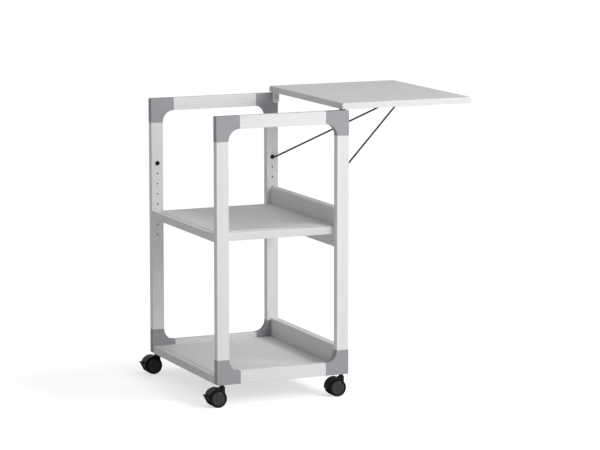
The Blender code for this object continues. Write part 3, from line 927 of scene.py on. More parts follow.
@dataclass(frozen=True)
class BlackPlastic(Finish):
    """Black polyamide with a fine moulded grain."""

    colour: Colour = (0.0030, 0.0030, 0.0034)
    pale: Colour = (0.0062, 0.0062, 0.0068)
    gloss: Pair = (0.27, 0.39)
    specular: float = 0.26
    grain: float = 1800
    grain_depth: float = 0.05 * MM
    flow: Place = (70, 0.55, 0.8)

    def make(self) -> Material:
        """Make the material.

        Returns:
            The black plastic.
        """
        sheet = NodeSheet(self.name)
        grain = sheet.cells(self.grain)
        scale, rough, share = self.flow
        flow = sheet.noise(scale, 4.0, rough)
        base = sheet.blend(sheet.span(flow, 0.0, share), self.colour, self.pale)
        sheet.set(Base_Color=base, Roughness=sheet.span(flow, *self.gloss), Specular_IOR_Level=self.specular)
        sheet.bump(grain, self.grain_depth, 0.3)
        return sheet.material


@dataclass(frozen=True)
class TreadRubber(Finish):
    """Soft dark tread, dusty where it runs on the floor."""

    colour: Colour = (0.0040, 0.0040, 0.0043)
    dust: Colour = (0.013, 0.0128, 0.0125)

    def make(self) -> Material:
        """Make the material.

        Returns:
            The tread's finish.
        """
        sheet = NodeSheet(self.name)
        scuff = sheet.noise(240, 5.0, 0.65)
        fine = sheet.noise(1700, 2.0, 0.6)
        base = sheet.blend(sheet.span(scuff, 0.0, 0.5, 0.50, 0.78), self.colour, self.dust)
        sheet.set(Base_Color=base, Roughness=sheet.span(scuff, 0.50, 0.68), Specular_IOR_Level=0.16)
        sheet.bump(fine, 0.04 * MM, 0.35)
        return sheet.material


LACQUER_UPRIGHT = ProfileLacquer("lacquer_upright", "profile", Axis.Z)
LACQUER_BEAM = ProfileLacquer("lacquer_beam", "profile", Axis.Y)
GREY_BLOCK = MouldedGrey("moulded_grey", "corner_block")
POWDER = PowderCoat("powder_coat_grey", "powder_coat")
ZINC = ZincSteel("zinc_plated_steel", "zinc_steel")
WIRE = DarkWire("burnished_wire", "stay_wire")
BLACK = BlackPlastic("black_polyamide", "black_plastic")
DISC = BlackPlastic("wheel_disc_satin", "wheel", (0.022, 0.022, 0.023), (0.031, 0.031, 0.033),
                    (0.24, 0.32), 0.5, 2400, 0.04 * MM, (110, 0.6, 0.9))
TREAD = TreadRubber("wheel_tread", "wheel")


def hand_in(piece: Piece, finish: Finish, body: str, nodes: Sequence[str], smooth: float = 30.0) -> None:
    """Finish a piece: shading, material, body, and the nodes that it stands for.

    Args:
        piece: The modelled piece.
        finish: Its finish.
        body: The CAD body that it rides on.
        nodes: The CAD nodes that it replaces.
        smooth: Edges sharper than this, in degrees, stay sharp.
    """
    Workbench.settle(piece)
    bpy.ops.object.shade_smooth_by_angle(angle=math.radians(smooth))
    Workbench.modify(piece, "WEIGHTED_NORMAL", keep_sharp=True, weight=FLAT_WEIGHT)
    piece.data.materials.clear()
    piece.data.materials.append(finish.material())
    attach(piece, body)
    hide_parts(*nodes)
    LOG.info("%s rides on %s, %d faces", piece.name, body, len(piece.data.polygons))


def hand_out(pattern: Piece, start: str, node: str, name: str, side: Side, finish: Finish) -> None:
    """Copy a part to another CAD node of its kind, mirror it to its side and hand it in.

    Args:
        pattern: The part, modelled on the right side.
        start: The CAD node that it was modelled at.
        node: The CAD node that the copy stands for.
        name: The copy's name.
        side: The copy's side of the cart.
        finish: Its finish.
    """
    way = middle(node) - middle(start)
    copy = Workbench.copy(pattern, name, (0, way.y, way.z), (side.value, 1, 1))
    hand_in(copy, finish, "root", [node])


# ---- Side frames -----------------------------------------------------------------


@dataclass
class SideFrames:
    """Both side frames: four uprights, four beams and eight corner blocks."""

    wall: float = 1.8 * MM
    edge: float = 1.3 * MM
    flute_pitch: float = 8.0 * MM
    flute_half: float = 0.55 * MM
    flute_depth: float = 0.22 * MM
    hole_pitch: float = 30 * MM
    hole_count: int = 7
    hole_radius: float = 2.3 * MM
    stay_hole_radius: float = 5.0 * MM
    hole_chamfer: float = 0.15 * MM
    block_outer: float = 3.0 * MM
    block_edge: float = 0.7 * MM
    block_foot: float = 36 * MM
    spigot_gap: float = 0.3 * MM
    spigot_length: float = 16 * MM
    spigot_root: float = 2 * MM
    socket_radius: float = 3.8 * MM
    socket_depth: float = 25 * MM
    pivot_radius: float = 3.3 * MM
    pivot_depth: float = 14.3 * MM

    def bar(self, name: str, node: str, along: Axis) -> Piece:
        """Model a hollow bar with rounded edges and shallow flutes.

        Args:
            name: The bar's name.
            node: The CAD node that it stands for.
            along: The way it runs.

        Returns:
            The bar.
        """
        low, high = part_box(node)
        bar = Workbench.box(name, low, high)
        Workbench.bevel(bar, lambda at, way: lies(way, along), self.edge, 4)
        across = Axis.Y if along is Axis.Z else Axis.Z
        part = 1 if across is Axis.Y else 2
        centre = ((low + high) / 2)[part]
        grooves = [centre + self.flute_pitch * step for step in (-1, 0, 1)]
        cuts = [groove + self.flute_half * step for groove in grooves for step in (-1, 0, 1)]
        Workbench.bisect(bar, cuts, across)
        for face, sign in ((low.x, 1), (high.x, -1)):
            with Workbench.editing(bar, "EDGE"):
                Workbench.choose(bar, "EDGE", lambda at, way: abs(at.x - face) < NEAR
                                       and lies(way, along)
                                       and any(abs(at[part] - groove) < NEAR for groove in grooves))
                bpy.ops.transform.translate(value=(sign * self.flute_depth, 0, 0))
        with Workbench.editing(bar):
            Workbench.choose(bar, "FACE", lambda at, way: lies(way, along))
            bpy.ops.mesh.delete(type="FACE")
        Workbench.modify(bar, "SOLIDIFY", thickness=self.wall, offset=-1.0, use_even_offset=True)
        return bar

    def drill_row(self, upright: Piece, node: str) -> None:
        """Drill the stay's hole and the row of shelf holes into an upright's inner wall.

        Args:
            upright: The upright.
            node: Its CAD node.
        """
        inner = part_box(node)[0].x
        centre = middle(node)
        top = middle("stay_bush_front_right").z
        for number in range(self.hole_count + 1):
            radius = self.hole_radius if number else self.stay_hole_radius
            flare = radius + self.hole_chamfer
            chamfer, back, depth = self.hole_chamfer, 2 * self.wall, 2.5 * self.wall
            outline = [(0, -back), (flare + self.wall, -back), (flare + chamfer, -chamfer),
                       (radius, chamfer), (radius, depth), (0, depth)]
            place = (inner, centre.y, top - number * self.hole_pitch)
            Workbench.combine(upright, Workbench.lathe("drill", outline, place, Axis.X, 32))
        Workbench.clean(upright)

    def build_bars(self) -> None:
        """Model one upright and one beam and copy them to their places."""
        first = "upright_front_right"
        upright = self.bar("upright", first, Axis.Z)
        self.drill_row(upright, first)
        for _, side, where in CORNERS:
            hand_out(upright, first, f"upright_{where}", f"profile_upright_{where}", side, LACQUER_UPRIGHT)
        first = "beam_top_right"
        beam = self.bar("beam", first, Axis.Y)
        for level in Level:
            for side in Side:
                node = f"beam_{level.word}_{side.word}"
                hand_out(beam, first, node, f"profile_{node}", side, LACQUER_BEAM)
        Workbench.discard(upright, beam)

    def block(self) -> Piece:
        """Model the top front right corner block with its spigots.

        Returns:
            The block.
        """
        low_x, high_x = (corner.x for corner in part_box("upright_front_right"))
        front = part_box("corner_block_top_front_right")[0].y
        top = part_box("corner_block_top_front_right")[1].z
        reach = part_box("beam_top_right")[0].y - self.spigot_gap - front
        foot = self.block_foot
        fillet = reach - foot
        block = Workbench.box("block", (low_x, front, top - foot), (high_x, front + foot, top))
        inner_y, inner_z = front + foot, top - foot
        for normal in (Vector((0, 1, 0)), Vector((0, 0, -1))):
            with Workbench.editing(block):
                Workbench.choose(block, "FACE", lambda at, way: way @ normal > 0.99
                                       and at.y <= inner_y + MM and at.z >= inner_z - MM)
                bpy.ops.mesh.extrude_region_move(TRANSFORM_OT_translate={"value": normal * fillet})
        Workbench.bevel(block, lambda at, way: lies(way, Axis.X) and abs(at.y - inner_y) < NEAR
                        and abs(at.z - inner_z) < NEAR, fillet - 0.05 * MM, 20)
        Workbench.bevel(block, lambda at, way: lies(way, Axis.X) and abs(at.y - front) < NEAR
                        and abs(at.z - top) < NEAR, self.block_outer, 5)
        Workbench.soften(block, self.block_edge, 3)
        half_x = (high_x - low_x) / 2 - self.wall - self.spigot_gap
        half = foot / 2 - self.wall - self.spigot_gap
        centre = (low_x + high_x) / 2
        across_z, across_y = top - foot / 2, front + foot / 2
        start_y, start_z = front + reach, top - reach
        root, length = self.spigot_root, self.spigot_length
        for low, high in (
                ((start_y - root, across_z - half), (start_y + length, across_z + half)),
                ((across_y - half, start_z - length), (across_y + half, start_z + root))):
            spigot = Workbench.box("spigot", (centre - half_x, *low), (centre + half_x, *high))
            Workbench.soften(spigot, self.block_edge)
            Workbench.combine(block, spigot, "UNION")
        return block

    def build_blocks(self) -> None:
        """Copy the corner block to all eight corners and bore their holes."""
        first = self.block()
        top, bottom = middle("beam_top_right"), middle("beam_bottom_right")
        centre = (0.0, top.y, (top.z + bottom.z) / 2)
        for level in Level:
            for end, side, where in CORNERS:
                node = f"corner_block_{level.word}_{where}"
                mirror = (side.value, -end.value, level.value)
                block = Workbench.copy(first, f"moulded_{node}", mirror=mirror, centre=centre)
                if level is Level.BOTTOM:
                    stem = middle(f"castor_stem_{where}")
                    place = (stem.x, stem.y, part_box(node)[0].z)
                    bore = Workbench.drum("bore", place, self.socket_radius, 2 * self.socket_depth, Axis.Z)
                    Workbench.combine(block, bore)
                elif end is End.BACK:
                    bolt = middle(f"hinge_bolt_{side.word}")
                    inner = side.value * min(abs(corner.x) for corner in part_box(f"upright_{where}"))
                    place = (inner, bolt.y, bolt.z)
                    bore = Workbench.drum("bore", place, self.pivot_radius, 2 * self.pivot_depth, Axis.X)
                    Workbench.combine(block, bore)
                hand_in(block, GREY_BLOCK, "root", [node])
        Workbench.discard(first)

    def build(self) -> None:
        """Build both side frames."""
        self.build_bars()
        self.build_blocks()


# ---- Shelves and panels -----------------------------------------------------------


@dataclass
class PressedShelves:
    """Middle shelf, bottom shelf, their back panels and the screws between them."""

    sheet: float = 1.5 * MM
    bend: float = 2.0 * MM
    corner: float = 3.0 * MM
    margin: float = 14.0 * MM
    slope: float = 3.4 * MM
    rise: float = 2.0 * MM
    weld: float = 0.05 * MM
    field_corner: float = 22.0 * MM
    field_steps: int = 6
    bend_steps: int = 5
    corner_steps: int = 10
    head_radius: float = 4.0 * MM
    head_height: float = 3.0 * MM
    head_round: float = 1.4 * MM
    shank_radius: float = 2.0 * MM
    thread_pitch: float = 0.9 * MM
    thread_depth: float = 0.25 * MM
    screw_room: float = 0.3 * MM

    def tray(self, node: str) -> Piece:
        """Model a pressed shelf with a raised field and downturned flanges.

        Args:
            node: Its CAD node.

        Returns:
            The shelf.
        """
        low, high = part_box(node)
        border = high.z - self.rise

        def ring(inset: float, z: float, radius: float) -> Ring:
            """A ring inside the shelf's outline."""
            return Ring((low.x + inset, low.y + inset), (high.x - inset, high.y - inset), z, radius)

        rings = []
        for step in range(self.field_steps, -1, -1):
            share = step / self.field_steps
            height = border + self.rise * share * share * (3 - 2 * share)
            corner = self.field_corner + self.slope * (1 - share)
            rings.append(ring(self.margin + self.slope * share, height, corner))
        rings += [ring(inset, border - self.weld - drop, self.corner - inset)
                  for inset, drop in fold(self.bend, self.bend_steps)]
        rings += [ring(inset, low.z + rise, self.corner - inset) for inset, rise in rim(self.sheet)]
        rings.append(ring(self.sheet, border - self.sheet - self.weld, self.corner - self.sheet))
        for step in (0, 1):
            rings.append(ring(self.margin + self.slope * step, border - self.sheet + self.rise * step,
                              self.field_corner + self.slope * (1 - step)))
        return Workbench.loft(node.replace("shelf", "shelf_sheet"), rings, Axis.Z, self.corner_steps)

    def panel(self, node: str) -> Piece:
        """Model a back panel with flanges that run backwards all round.

        Args:
            node: Its CAD node.

        Returns:
            The panel.
        """
        low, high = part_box(node)

        def ring(inset: float, y: float, radius: float) -> Ring:
            """A ring inside the panel's outline."""
            return Ring((low.x + inset, low.z + inset), (high.x - inset, high.z - inset), y, radius)

        rings = [ring(inset, low.y + drop, self.corner - inset)
                 for inset, drop in fold(self.bend, self.bend_steps)]
        rings += [ring(inset, high.y - rise, self.corner - inset) for inset, rise in rim(self.sheet)]
        rings.append(ring(self.sheet, low.y + self.sheet, self.corner - self.sheet))
        return Workbench.loft(node.replace("panel", "panel_sheet"), rings, Axis.Y, self.corner_steps)

    def screw(self, node: str) -> Piece:
        """Model a right shelf screw: a pan head with a cross recess.

        Args:
            node: Its CAD node.

        Returns:
            The screw.
        """
        low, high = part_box(node)
        centre = (low + high) / 2
        head, shank = self.head_radius, self.shank_radius
        outline = [(0, 0)]
        turned = self.head_round
        for angle in map(math.radians, (0, 22, 45, 68, 90)):
            outline.append((head - turned + turned * math.sin(angle), turned * (1 - math.cos(angle))))
        outline += [(head, self.head_height), (shank, self.head_height)]
        place = self.head_height + self.thread_pitch / 2
        length = high.x - low.x
        while place < length - self.thread_pitch:
            outline += [(shank, place), (shank - self.thread_depth, place + self.thread_pitch / 2)]
            place += self.thread_pitch
        outline += [(shank - self.thread_depth, length - 0.4 * MM), (shank - 0.7 * MM, length), (0, length)]
        screw = Workbench.lathe("screw", outline, (low.x, centre.y, centre.z), Axis.X, 24)
        for half_y, half_z in ((2.3 * MM, 0.45 * MM), (0.45 * MM, 2.3 * MM)):
            cross = Workbench.box("cross", (low.x - MM, centre.y - half_y, centre.z - half_z),
                                  (low.x + 1.5 * MM, centre.y + half_y, centre.z + half_z))
            Workbench.combine(screw, cross)
        return screw

    def build(self) -> None:
        """Build the shelves, the panels and the screws."""
        bottom = self.tray("bottom_shelf")
        middle_tray = self.tray("middle_shelf")
        bottom_panel = self.panel("bottom_back_panel")
        middle_panel = self.panel("middle_back_panel")
        first = "shelf_screw_front_right"
        screw = self.screw(first)
        for end, side, where in CORNERS:
            node = f"shelf_screw_{where}"
            place = middle(node)
            flange = side.value * max(abs(corner.x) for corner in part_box("middle_shelf"))
            bore = Workbench.drum("bore", (flange, place.y, place.z), self.shank_radius + self.screw_room,
                                  6 * self.sheet, Axis.X, 24)
            Workbench.combine(middle_tray if end is End.FRONT else middle_panel, bore)
            hand_out(screw, first, node, f"pan_head_{node}", side, ZINC)
        Workbench.discard(screw)
        for sheet, node in ((bottom, "bottom_shelf"), (middle_tray, "middle_shelf"),
                            (bottom_panel, "bottom_back_panel"), (middle_panel, "middle_back_panel")):
            hand_in(sheet, POWDER, "root", [node])


# ---- Folding shelf and stay ----------------------------------------------------------


@dataclass
class FoldingShelf:
    """Folding shelf with its ears, pivot bolts, washers and catch."""

    sheet: float = 1.5 * MM
    bend: float = 5.2 * MM
    side_bend: float = 2.0 * MM
    corner: float = 4.0 * MM
    ear_thick: float = 3.0 * MM
    ear_round: float = 10.4 * MM
    bore_radius: float = 3.3 * MM
    edge: float = 0.45 * MM
    head_round: float = 1.3 * MM
    hex_radius: float = 2.9 * MM
    hex_depth: float = 1.8 * MM
    shank_edge: float = 0.5 * MM
    washer_edge: float = 0.15 * MM

    def deck(self) -> Piece:
        """Model the folding shelf's sheet.

        Returns:
            The sheet.
        """
        low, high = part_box("folding_shelf")

        def ring(inset: float, front: float, z: float, radius: float) -> Ring:
            """A ring inside the shelf's outline, its hinge edge set apart."""
            return Ring((low.x + inset, low.y + front), (high.x - inset, high.y - inset), z, radius)

        rings = []
        steps = 8
        for step in range(steps, -1, -1):
            angle = math.radians(90 * step / steps)
            z = self.bend * (math.sin(angle) - 1)
            above = max(0.0, z + self.side_bend)
            inset = self.side_bend - math.sqrt(max(0.0, self.side_bend ** 2 - above ** 2))
            rings.append(ring(inset, self.bend * (1 - math.cos(angle)), high.z + z, self.corner - inset))
        rings += [ring(inset, inset, low.z + rise, self.corner - inset) for inset, rise in rim(self.sheet)]
        inner = self.bend - self.sheet
        for step in range(steps + 1):
            angle = math.radians(90 * step / steps)
            rings.append(ring(self.sheet, self.sheet + inner * (1 - math.cos(angle)),
                              high.z - self.bend + inner * math.sin(angle), self.corner - self.sheet))
        return Workbench.loft("folding_shelf_sheet", rings, Axis.Z, 8)

    def ear(self) -> Piece:
        """Model the right hinge ear with its foot and its bore.

        Returns:
            The ear.
        """
        low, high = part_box("hinge_ear_right")
        pivot = middle("hinge_bolt_right")
        ear = Workbench.box("ear", (high.x - self.ear_thick, low.y, low.z), high)
        Workbench.bevel(ear, lambda at, way: lies(way, Axis.X) and at.z < low.z + 0.1 * MM,
                        self.ear_round, 14)
        foot = Workbench.box("foot", (low.x, low.y, high.z - self.ear_thick),
                             (high.x - self.ear_thick / 2, high.y, high.z))
        Workbench.bevel(foot, lambda at, way: lies(way, Axis.Z) and at.x < low.x + 0.1 * MM, 3 * MM, 6)
        Workbench.combine(ear, foot, "UNION")
        Workbench.combine(ear, Workbench.drum("bore", (high.x, pivot.y, pivot.z), self.bore_radius,
                                              4 * self.ear_thick, Axis.X))
        Workbench.soften(ear, self.edge)
        return ear

    def bolt(self) -> Piece:
        """Model the right pivot bolt with a button head and a hexagon socket.

        Returns:
            The bolt.
        """
        low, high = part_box("hinge_bolt_right")
        centre = (low + high) / 2
        head = (high.y - low.y) / 2
        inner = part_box("hinge_ear_right")[1].x - self.ear_thick
        height = inner - 0.3 * MM - low.x
        shank = self.bore_radius - 0.3 * MM
        round_steps = [math.radians(90 * step / 6) for step in range(7)]
        outline = [(0, 0)]
        outline += [(head - self.head_round * (1 - math.sin(a)), self.head_round * (1 - math.cos(a)))
                    for a in round_steps]
        length, edge = high.x - low.x, self.shank_edge
        outline += [(head, height), (shank, height), (shank, length - edge), (shank - edge, length),
                    (0, length)]
        bolt = Workbench.lathe("bolt", outline, (low.x, centre.y, centre.z), Axis.X, 40)
        Workbench.combine(bolt, Workbench.drum("socket", (low.x, centre.y, centre.z), self.hex_radius,
                                               2 * self.hex_depth, Axis.X, 6))
        return bolt

    def washer(self) -> Piece:
        """Model the right hinge washer.

        Returns:
            The washer.
        """
        low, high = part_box("hinge_washer_right")
        place = (low.x, (low.y + high.y) / 2, (low.z + high.z) / 2)
        outer, bore, thick, edge = (high.y - low.y) / 2, self.bore_radius, high.x - low.x, self.washer_edge
        outline = [(bore, edge), (bore + edge, 0), (outer - edge, 0), (outer, edge), (outer, thick - edge),
                   (outer - edge, thick), (bore + edge, thick), (bore, thick - edge), (bore, edge)]
        return Workbench.lathe("washer", outline, place, Axis.X, 40)

    def build(self) -> None:
        """Build the folding shelf and its hinge."""
        hand_in(self.deck(), POWDER, "folding_shelf", ["folding_shelf"])
        for part, name, finish, body in ((self.ear(), "hinge_ear", POWDER, "folding_shelf"),
                                         (self.bolt(), "hinge_bolt", ZINC, "root"),
                                         (self.washer(), "hinge_washer", ZINC, "root")):
            for side in Side:
                node = f"{name}_{side.word}"
                shown = Workbench.copy(part, node.replace("hinge", "pivot"), mirror=(side.value, 1, 1))
                hand_in(shown, finish, body, [node])
            Workbench.discard(part)
        catch = Workbench.refine("stay_catch", "wire_catch", 0.5 * MM, 3, 40)
        hand_in(catch, BLACK, "folding_shelf", ["stay_catch"])


@dataclass
class WireStay:
    """The bent wire that holds the folding shelf up, and the bushes of its ends."""

    radius: float = 2.5 * MM
    bend: float = 7.0 * MM
    sides: int = 20
    bend_steps: int = 14
    inset: float = 13.0 * MM
    cross_half: float = 10.0 * MM
    chamfer: float = 0.4 * MM
    bush_flange: float = 1.2 * MM
    bush_gap: float = 0.3 * MM
    bush_sleeve: float = 4.7 * MM
    bush_edge: float = 0.4 * MM

    def wire(self) -> Piece:
        """Bend the right half of the wire by extruding and spinning a ring, and mirror it.

        Returns:
            The wire.
        """
        low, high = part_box("stay")
        hinge = next(joint for joint in frame["joints"] if joint["name"] == "stay_hinge")
        y, z = (float(value) for value in hinge["pos_m"][1:])
        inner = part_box("stay_bush_front_right")[0].x + self.bush_flange + self.bush_gap
        start = Vector((high.x, y, z))
        corner = Vector((inner - self.inset, y, z))
        far = Vector((self.cross_half, high.y - self.radius, high.z - self.radius))
        leg = (far - corner).normalized()
        last = Vector((-1, 0, 0))
        Workbench.clear()
        bpy.ops.mesh.primitive_circle_add(vertices=self.sides, radius=self.radius, location=start,
                                          rotation=Axis.X.turn, fill_type="NOTHING")
        wire = Workbench.take("stay_wire")
        with Workbench.editing(wire, "EDGE", whole=True):
            at, way = start, last
            for bend_at, onward in ((corner, leg), (far, last)):
                turn = way.angle(onward)
                reach = self.bend * math.tan(turn / 2)
                self._draw(bend_at - way * reach - at)
                axis = way.cross(onward).normalized()
                centre = bend_at - way * reach + axis.cross(way) * self.bend
                bpy.ops.mesh.spin(steps=self.bend_steps, angle=-turn, center=centre, axis=axis, dupli=False)
                at, way = bend_at + onward * reach, onward
            self._draw(Vector((-at.x, 0, 0)))
        return self._close(wire, start)

    @staticmethod
    def _draw(step: Vector) -> None:
        """Draw the selected ring out along a straight run.

        Args:
            step: Way and length of the run.
        """
        bpy.ops.mesh.extrude_region_move(TRANSFORM_OT_translate={"value": step})

    def _close(self, wire: Piece, start: Vector) -> Piece:
        """Mirror the half wire, close its ends and chamfer them.

        Args:
            wire: Half of the wire.
            start: The end of the wire, in the upright.

        Returns:
            The whole wire.
        """
        Workbench.modify(wire, "MIRROR", use_axis=(True, False, False), use_mirror_merge=True,
                         merge_threshold=0.02 * MM)
        with Workbench.editing(wire, "EDGE"):
            for sign in (1, -1):
                Workbench.choose(wire, "EDGE", lambda at, way: abs(at.x - sign * start.x) < NEAR)
                bpy.ops.mesh.edge_face_add()
            Workbench.face_out(0.005 * MM)
        Workbench.bevel(wire, lambda at, way: abs(abs(at.x) - start.x) < NEAR, self.chamfer, 2)
        return wire

    def bush(self, node: str) -> Piece:
        """Model a right bush, a flanged ring with rounded rims.

        Args:
            node: Its CAD node.

        Returns:
            The bush.
        """
        low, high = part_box(node)
        centre = (low + high) / 2
        flange = (high.y - low.y) / 2
        inner = self.radius + self.bush_gap
        outer, edge = self.bush_sleeve, self.bush_edge
        length = high.x - low.x
        cut = 0.3 * edge
        outline = [(inner, edge), (inner + edge, 0), (flange - edge, 0), (flange - cut, cut),
                   (flange, edge), (flange, self.bush_flange), (outer, self.bush_flange),
                   (outer, length - edge), (outer - edge, length), (inner, length), (inner, edge)]
        return Workbench.lathe("bush", outline, (low.x, centre.y, centre.z), Axis.X, 40)

    def build(self) -> None:
        """Build the wire and its bushes."""
        hand_in(self.wire(), WIRE, "stay", ["stay"], 40)
        first = "stay_bush_front_right"
        bush = self.bush(first)
        for _, side, where in CORNERS:
            hand_out(bush, first, f"stay_bush_{where}", f"flanged_bush_{where}", side, BLACK)
        Workbench.discard(bush)


# ---- Castors ----------------------------------------------------------------------------


@dataclass
class Castors:
    """Four twin-wheel castors: stem, hood, axle, two wheels, and a brake lever in front."""

    trail: float = 18.0 * MM
    wheel_radius: float = 25.0 * MM
    room: float = 0.6 * MM
    hood_radius: float = 28.0 * MM
    hood_half: float = 18.0 * MM
    hood_start: float = 62.0
    hood_end: float = 188.0
    hood_steps: int = 44
    hood_edge: float = 0.9 * MM
    web_start: float = 75.0
    web_inset: float = 0.6 * MM
    web_foot: float = 4.0 * MM
    stem_depth: float = 20.3 * MM
    web_half: float = 5.5 * MM
    hub_radius: float = 12.0 * MM
    boss_radius: float = 7.0 * MM
    boss_low: float = 43.0 * MM
    boss_high: float = 55.0 * MM
    stem_radius: float = 3.5 * MM
    collar_radius: float = 6.0 * MM
    collar_height: float = 4.0 * MM
    axle_radius: float = 2.5 * MM
    gap: float = 0.3 * MM
    edge: float = 0.5 * MM
    steps: int = 72
    disc_radius: float = 19.8 * MM
    disc_slope: float = 1.25 * MM
    lever_slot: tuple[Pair, ...] = (
        (3.5 * MM, -9.0 * MM), (3.5 * MM, 3.5 * MM), (-18.5 * MM, 10.0 * MM), (-18.5 * MM, -9.0 * MM))
    lever_pivot: float = 19.0 * MM
    lever_angle: float = 163.0
    slot_half: float = 3.3 * MM
    lever_rise: float = 12.0
    lever_reach: float = 18.5 * MM
    arm_thick: float = 3.4 * MM
    arm_half: float = 3.0 * MM
    pad_start: float = 13.4 * MM
    pad_thick: float = 6.6 * MM
    pad_half: float = 8.0 * MM
    pad_edge: float = 0.9 * MM

    def centre(self, end: End, side: Side) -> Vector:
        """Middle of a castor's axle.

        Args:
            end: Front or back.
            side: Right or left.

        Returns:
            The place.
        """
        return middle(f"castor_axle_{end.word}_{side.word}")

    def hood(self, braked: bool) -> Piece:
        """Model a hood at the front right castor: cover, web and stem boss.

        Args:
            braked: Whether it has the lever's slot.

        Returns:
            The hood.
        """
        at = self.centre(End.FRONT, Side.RIGHT)
        inner = self.wheel_radius + self.room
        cover = arc((at.y, at.z), self.hood_radius, self.hood_start, self.hood_end, self.hood_steps)
        cover += arc((at.y, at.z), inner, self.hood_end, self.hood_start, self.hood_steps)
        hood = Workbench.plate("hood", cover, at.x - self.hood_half, at.x + self.hood_half)
        Workbench.soften(hood, self.hood_edge, 3)
        boss_y = at.y + self.trail
        web = [(boss_y + self.boss_radius, at.z + self.web_foot), (boss_y + self.boss_radius, self.boss_high),
               (boss_y - self.boss_radius, self.boss_high)]
        web += arc((at.y, at.z), self.hood_radius - self.web_inset, self.web_start, self.hood_end, 30)
        web += arc((at.y, at.z), self.hub_radius, self.hood_end + 10, 350, 20)
        web_plate = Workbench.plate("web", web, at.x - self.web_half, at.x + self.web_half)
        Workbench.combine(hood, web_plate, "UNION")
        place = (at.x, boss_y, (self.boss_low + self.boss_high) / 2)
        boss = Workbench.drum("boss", place, self.boss_radius, self.boss_high - self.boss_low, Axis.Z, 40)
        Workbench.combine(hood, boss, "UNION")
        for way in (1, -1):
            place = (at.x + way * (self.web_half + self.hood_half), at.y, at.z)
            Workbench.combine(hood, Workbench.drum("room", place, inner, 2 * self.hood_half, Axis.X, 96))
        place = (at.x, boss_y, self.boss_high)
        socket = Workbench.drum("socket", place, self.stem_radius + self.gap, 2 * self.stem_depth, Axis.Z)
        Workbench.combine(hood, socket)
        hole = Workbench.drum("axle_hole", at, self.axle_radius + self.gap, 4 * self.web_half, Axis.X)
        Workbench.combine(hood, hole)
        if braked:
            angle = math.radians(self.lever_angle)
            pivot_y = at.y + self.lever_pivot * math.cos(angle)
            pivot_z = at.z + self.lever_pivot * math.sin(angle)
            outline = [(pivot_y + y, pivot_z + z) for y, z in self.lever_slot]
            slot = Workbench.plate("slot", outline, at.x - self.slot_half, at.x + self.slot_half)
            Workbench.combine(hood, slot)
        Workbench.clean(hood)
        return hood

    def wheel_parts(self) -> tuple[Piece, Piece]:
        """Model the outer wheel of the front right castor.

        Returns:
            The tread with its core, and the satin disc on its face.
        """
        low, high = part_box("castor_wheel_outer_front_right")
        at = self.centre(End.FRONT, Side.RIGHT)
        width = high.x - low.x
        radius, disc = self.wheel_radius, self.disc_radius
        bore = self.axle_radius + self.gap
        tread = [(0, 10.3 * MM), (bore, 10.3 * MM), (bore, 0.3 * MM), (bore + 0.3 * MM, 0), (9 * MM, 0),
                 (9.4 * MM, 0.8 * MM), (20.6 * MM, 0.8 * MM), (21 * MM, 0)]
        tread += [(radius - 1.5 * MM, 0), (radius - 0.55 * MM, 0.4 * MM),
                  (radius - 0.1 * MM, 1.3 * MM), (radius, 3.2 * MM),
                  (radius, width - 3.2 * MM), (radius - 0.1 * MM, width - 1.3 * MM),
                  (radius - 0.55 * MM, width - 0.4 * MM), (radius - 1.5 * MM, width),
                  (disc + 2.2 * MM, width), (disc + 1.3 * MM, width - 0.2 * MM),
                  (disc + 0.6 * MM, width - 0.7 * MM), (disc + 0.35 * MM, width - 1.4 * MM),
                  (disc + 0.2 * MM, width - 1.9 * MM), (0, width - 1.9 * MM)]
        place = (low.x, at.y, at.z)
        rubber = Workbench.lathe("tread", tread, place, Axis.X, self.steps)
        slope = self.disc_slope
        face = [(0, width - 1.85 * MM), (disc - 0.2 * MM, width - 1.85 * MM), (disc, width - 1.65 * MM),
                (disc, width - slope - 0.2 * MM), (disc - 0.15 * MM, width - slope),
                (disc - slope, width - 0.15 * MM), (disc - slope - 0.35 * MM, width),
                (disc - slope - 1.3 * MM, width), (disc - slope - 1.8 * MM, width - 0.25 * MM),
                (13.0 * MM, width - 0.35 * MM), (9.0 * MM, width - 0.45 * MM), (7.5 * MM, width - 0.5 * MM),
                (7.1 * MM, width - 0.9 * MM), (6.6 * MM, width - 0.9 * MM), (6.3 * MM, width - 0.4 * MM),
                (5.4 * MM, width - 0.15 * MM), (3.2 * MM, width - 0.04 * MM), (0, width)]
        plate = Workbench.lathe("disc", face, place, Axis.X, self.steps)
        return rubber, plate

    def stem(self) -> tuple[Piece, Piece]:
        """Model the front right stem and the black collar on it.

        Returns:
            The stem and the collar.
        """
        low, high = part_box("castor_stem_front_right")
        centre = (low + high) / 2
        shank, collar, edge = self.stem_radius, self.collar_radius, 0.4 * MM
        length = high.z - low.z
        ring = length - 8 * MM
        outline = [(0, 0), (shank - edge, 0), (shank, edge), (shank, ring), (shank - edge, ring + edge),
                   (shank - edge, ring + 1.6 * MM), (shank, ring + 2 * MM), (shank, length - 0.8 * MM),
                   (shank - 0.8 * MM, length), (0, length)]
        stem = Workbench.lathe("stem", outline, (centre.x, centre.y, low.z), Axis.Z, 36)
        seat = self.boss_high + self.gap
        top = seat + self.collar_height
        sleeve = shank - 0.1 * MM
        groove = collar - edge
        outline = [(sleeve, seat), (groove, seat), (collar, seat + edge), (collar, seat + 1.4 * MM),
                   (groove, seat + 1.7 * MM), (groove, seat + 2.1 * MM), (collar, seat + 2.4 * MM),
                   (collar, top - edge), (groove, top), (sleeve, top), (sleeve, seat)]
        return stem, Workbench.lathe("collar", outline, (centre.x, centre.y, 0), Axis.Z, 40)

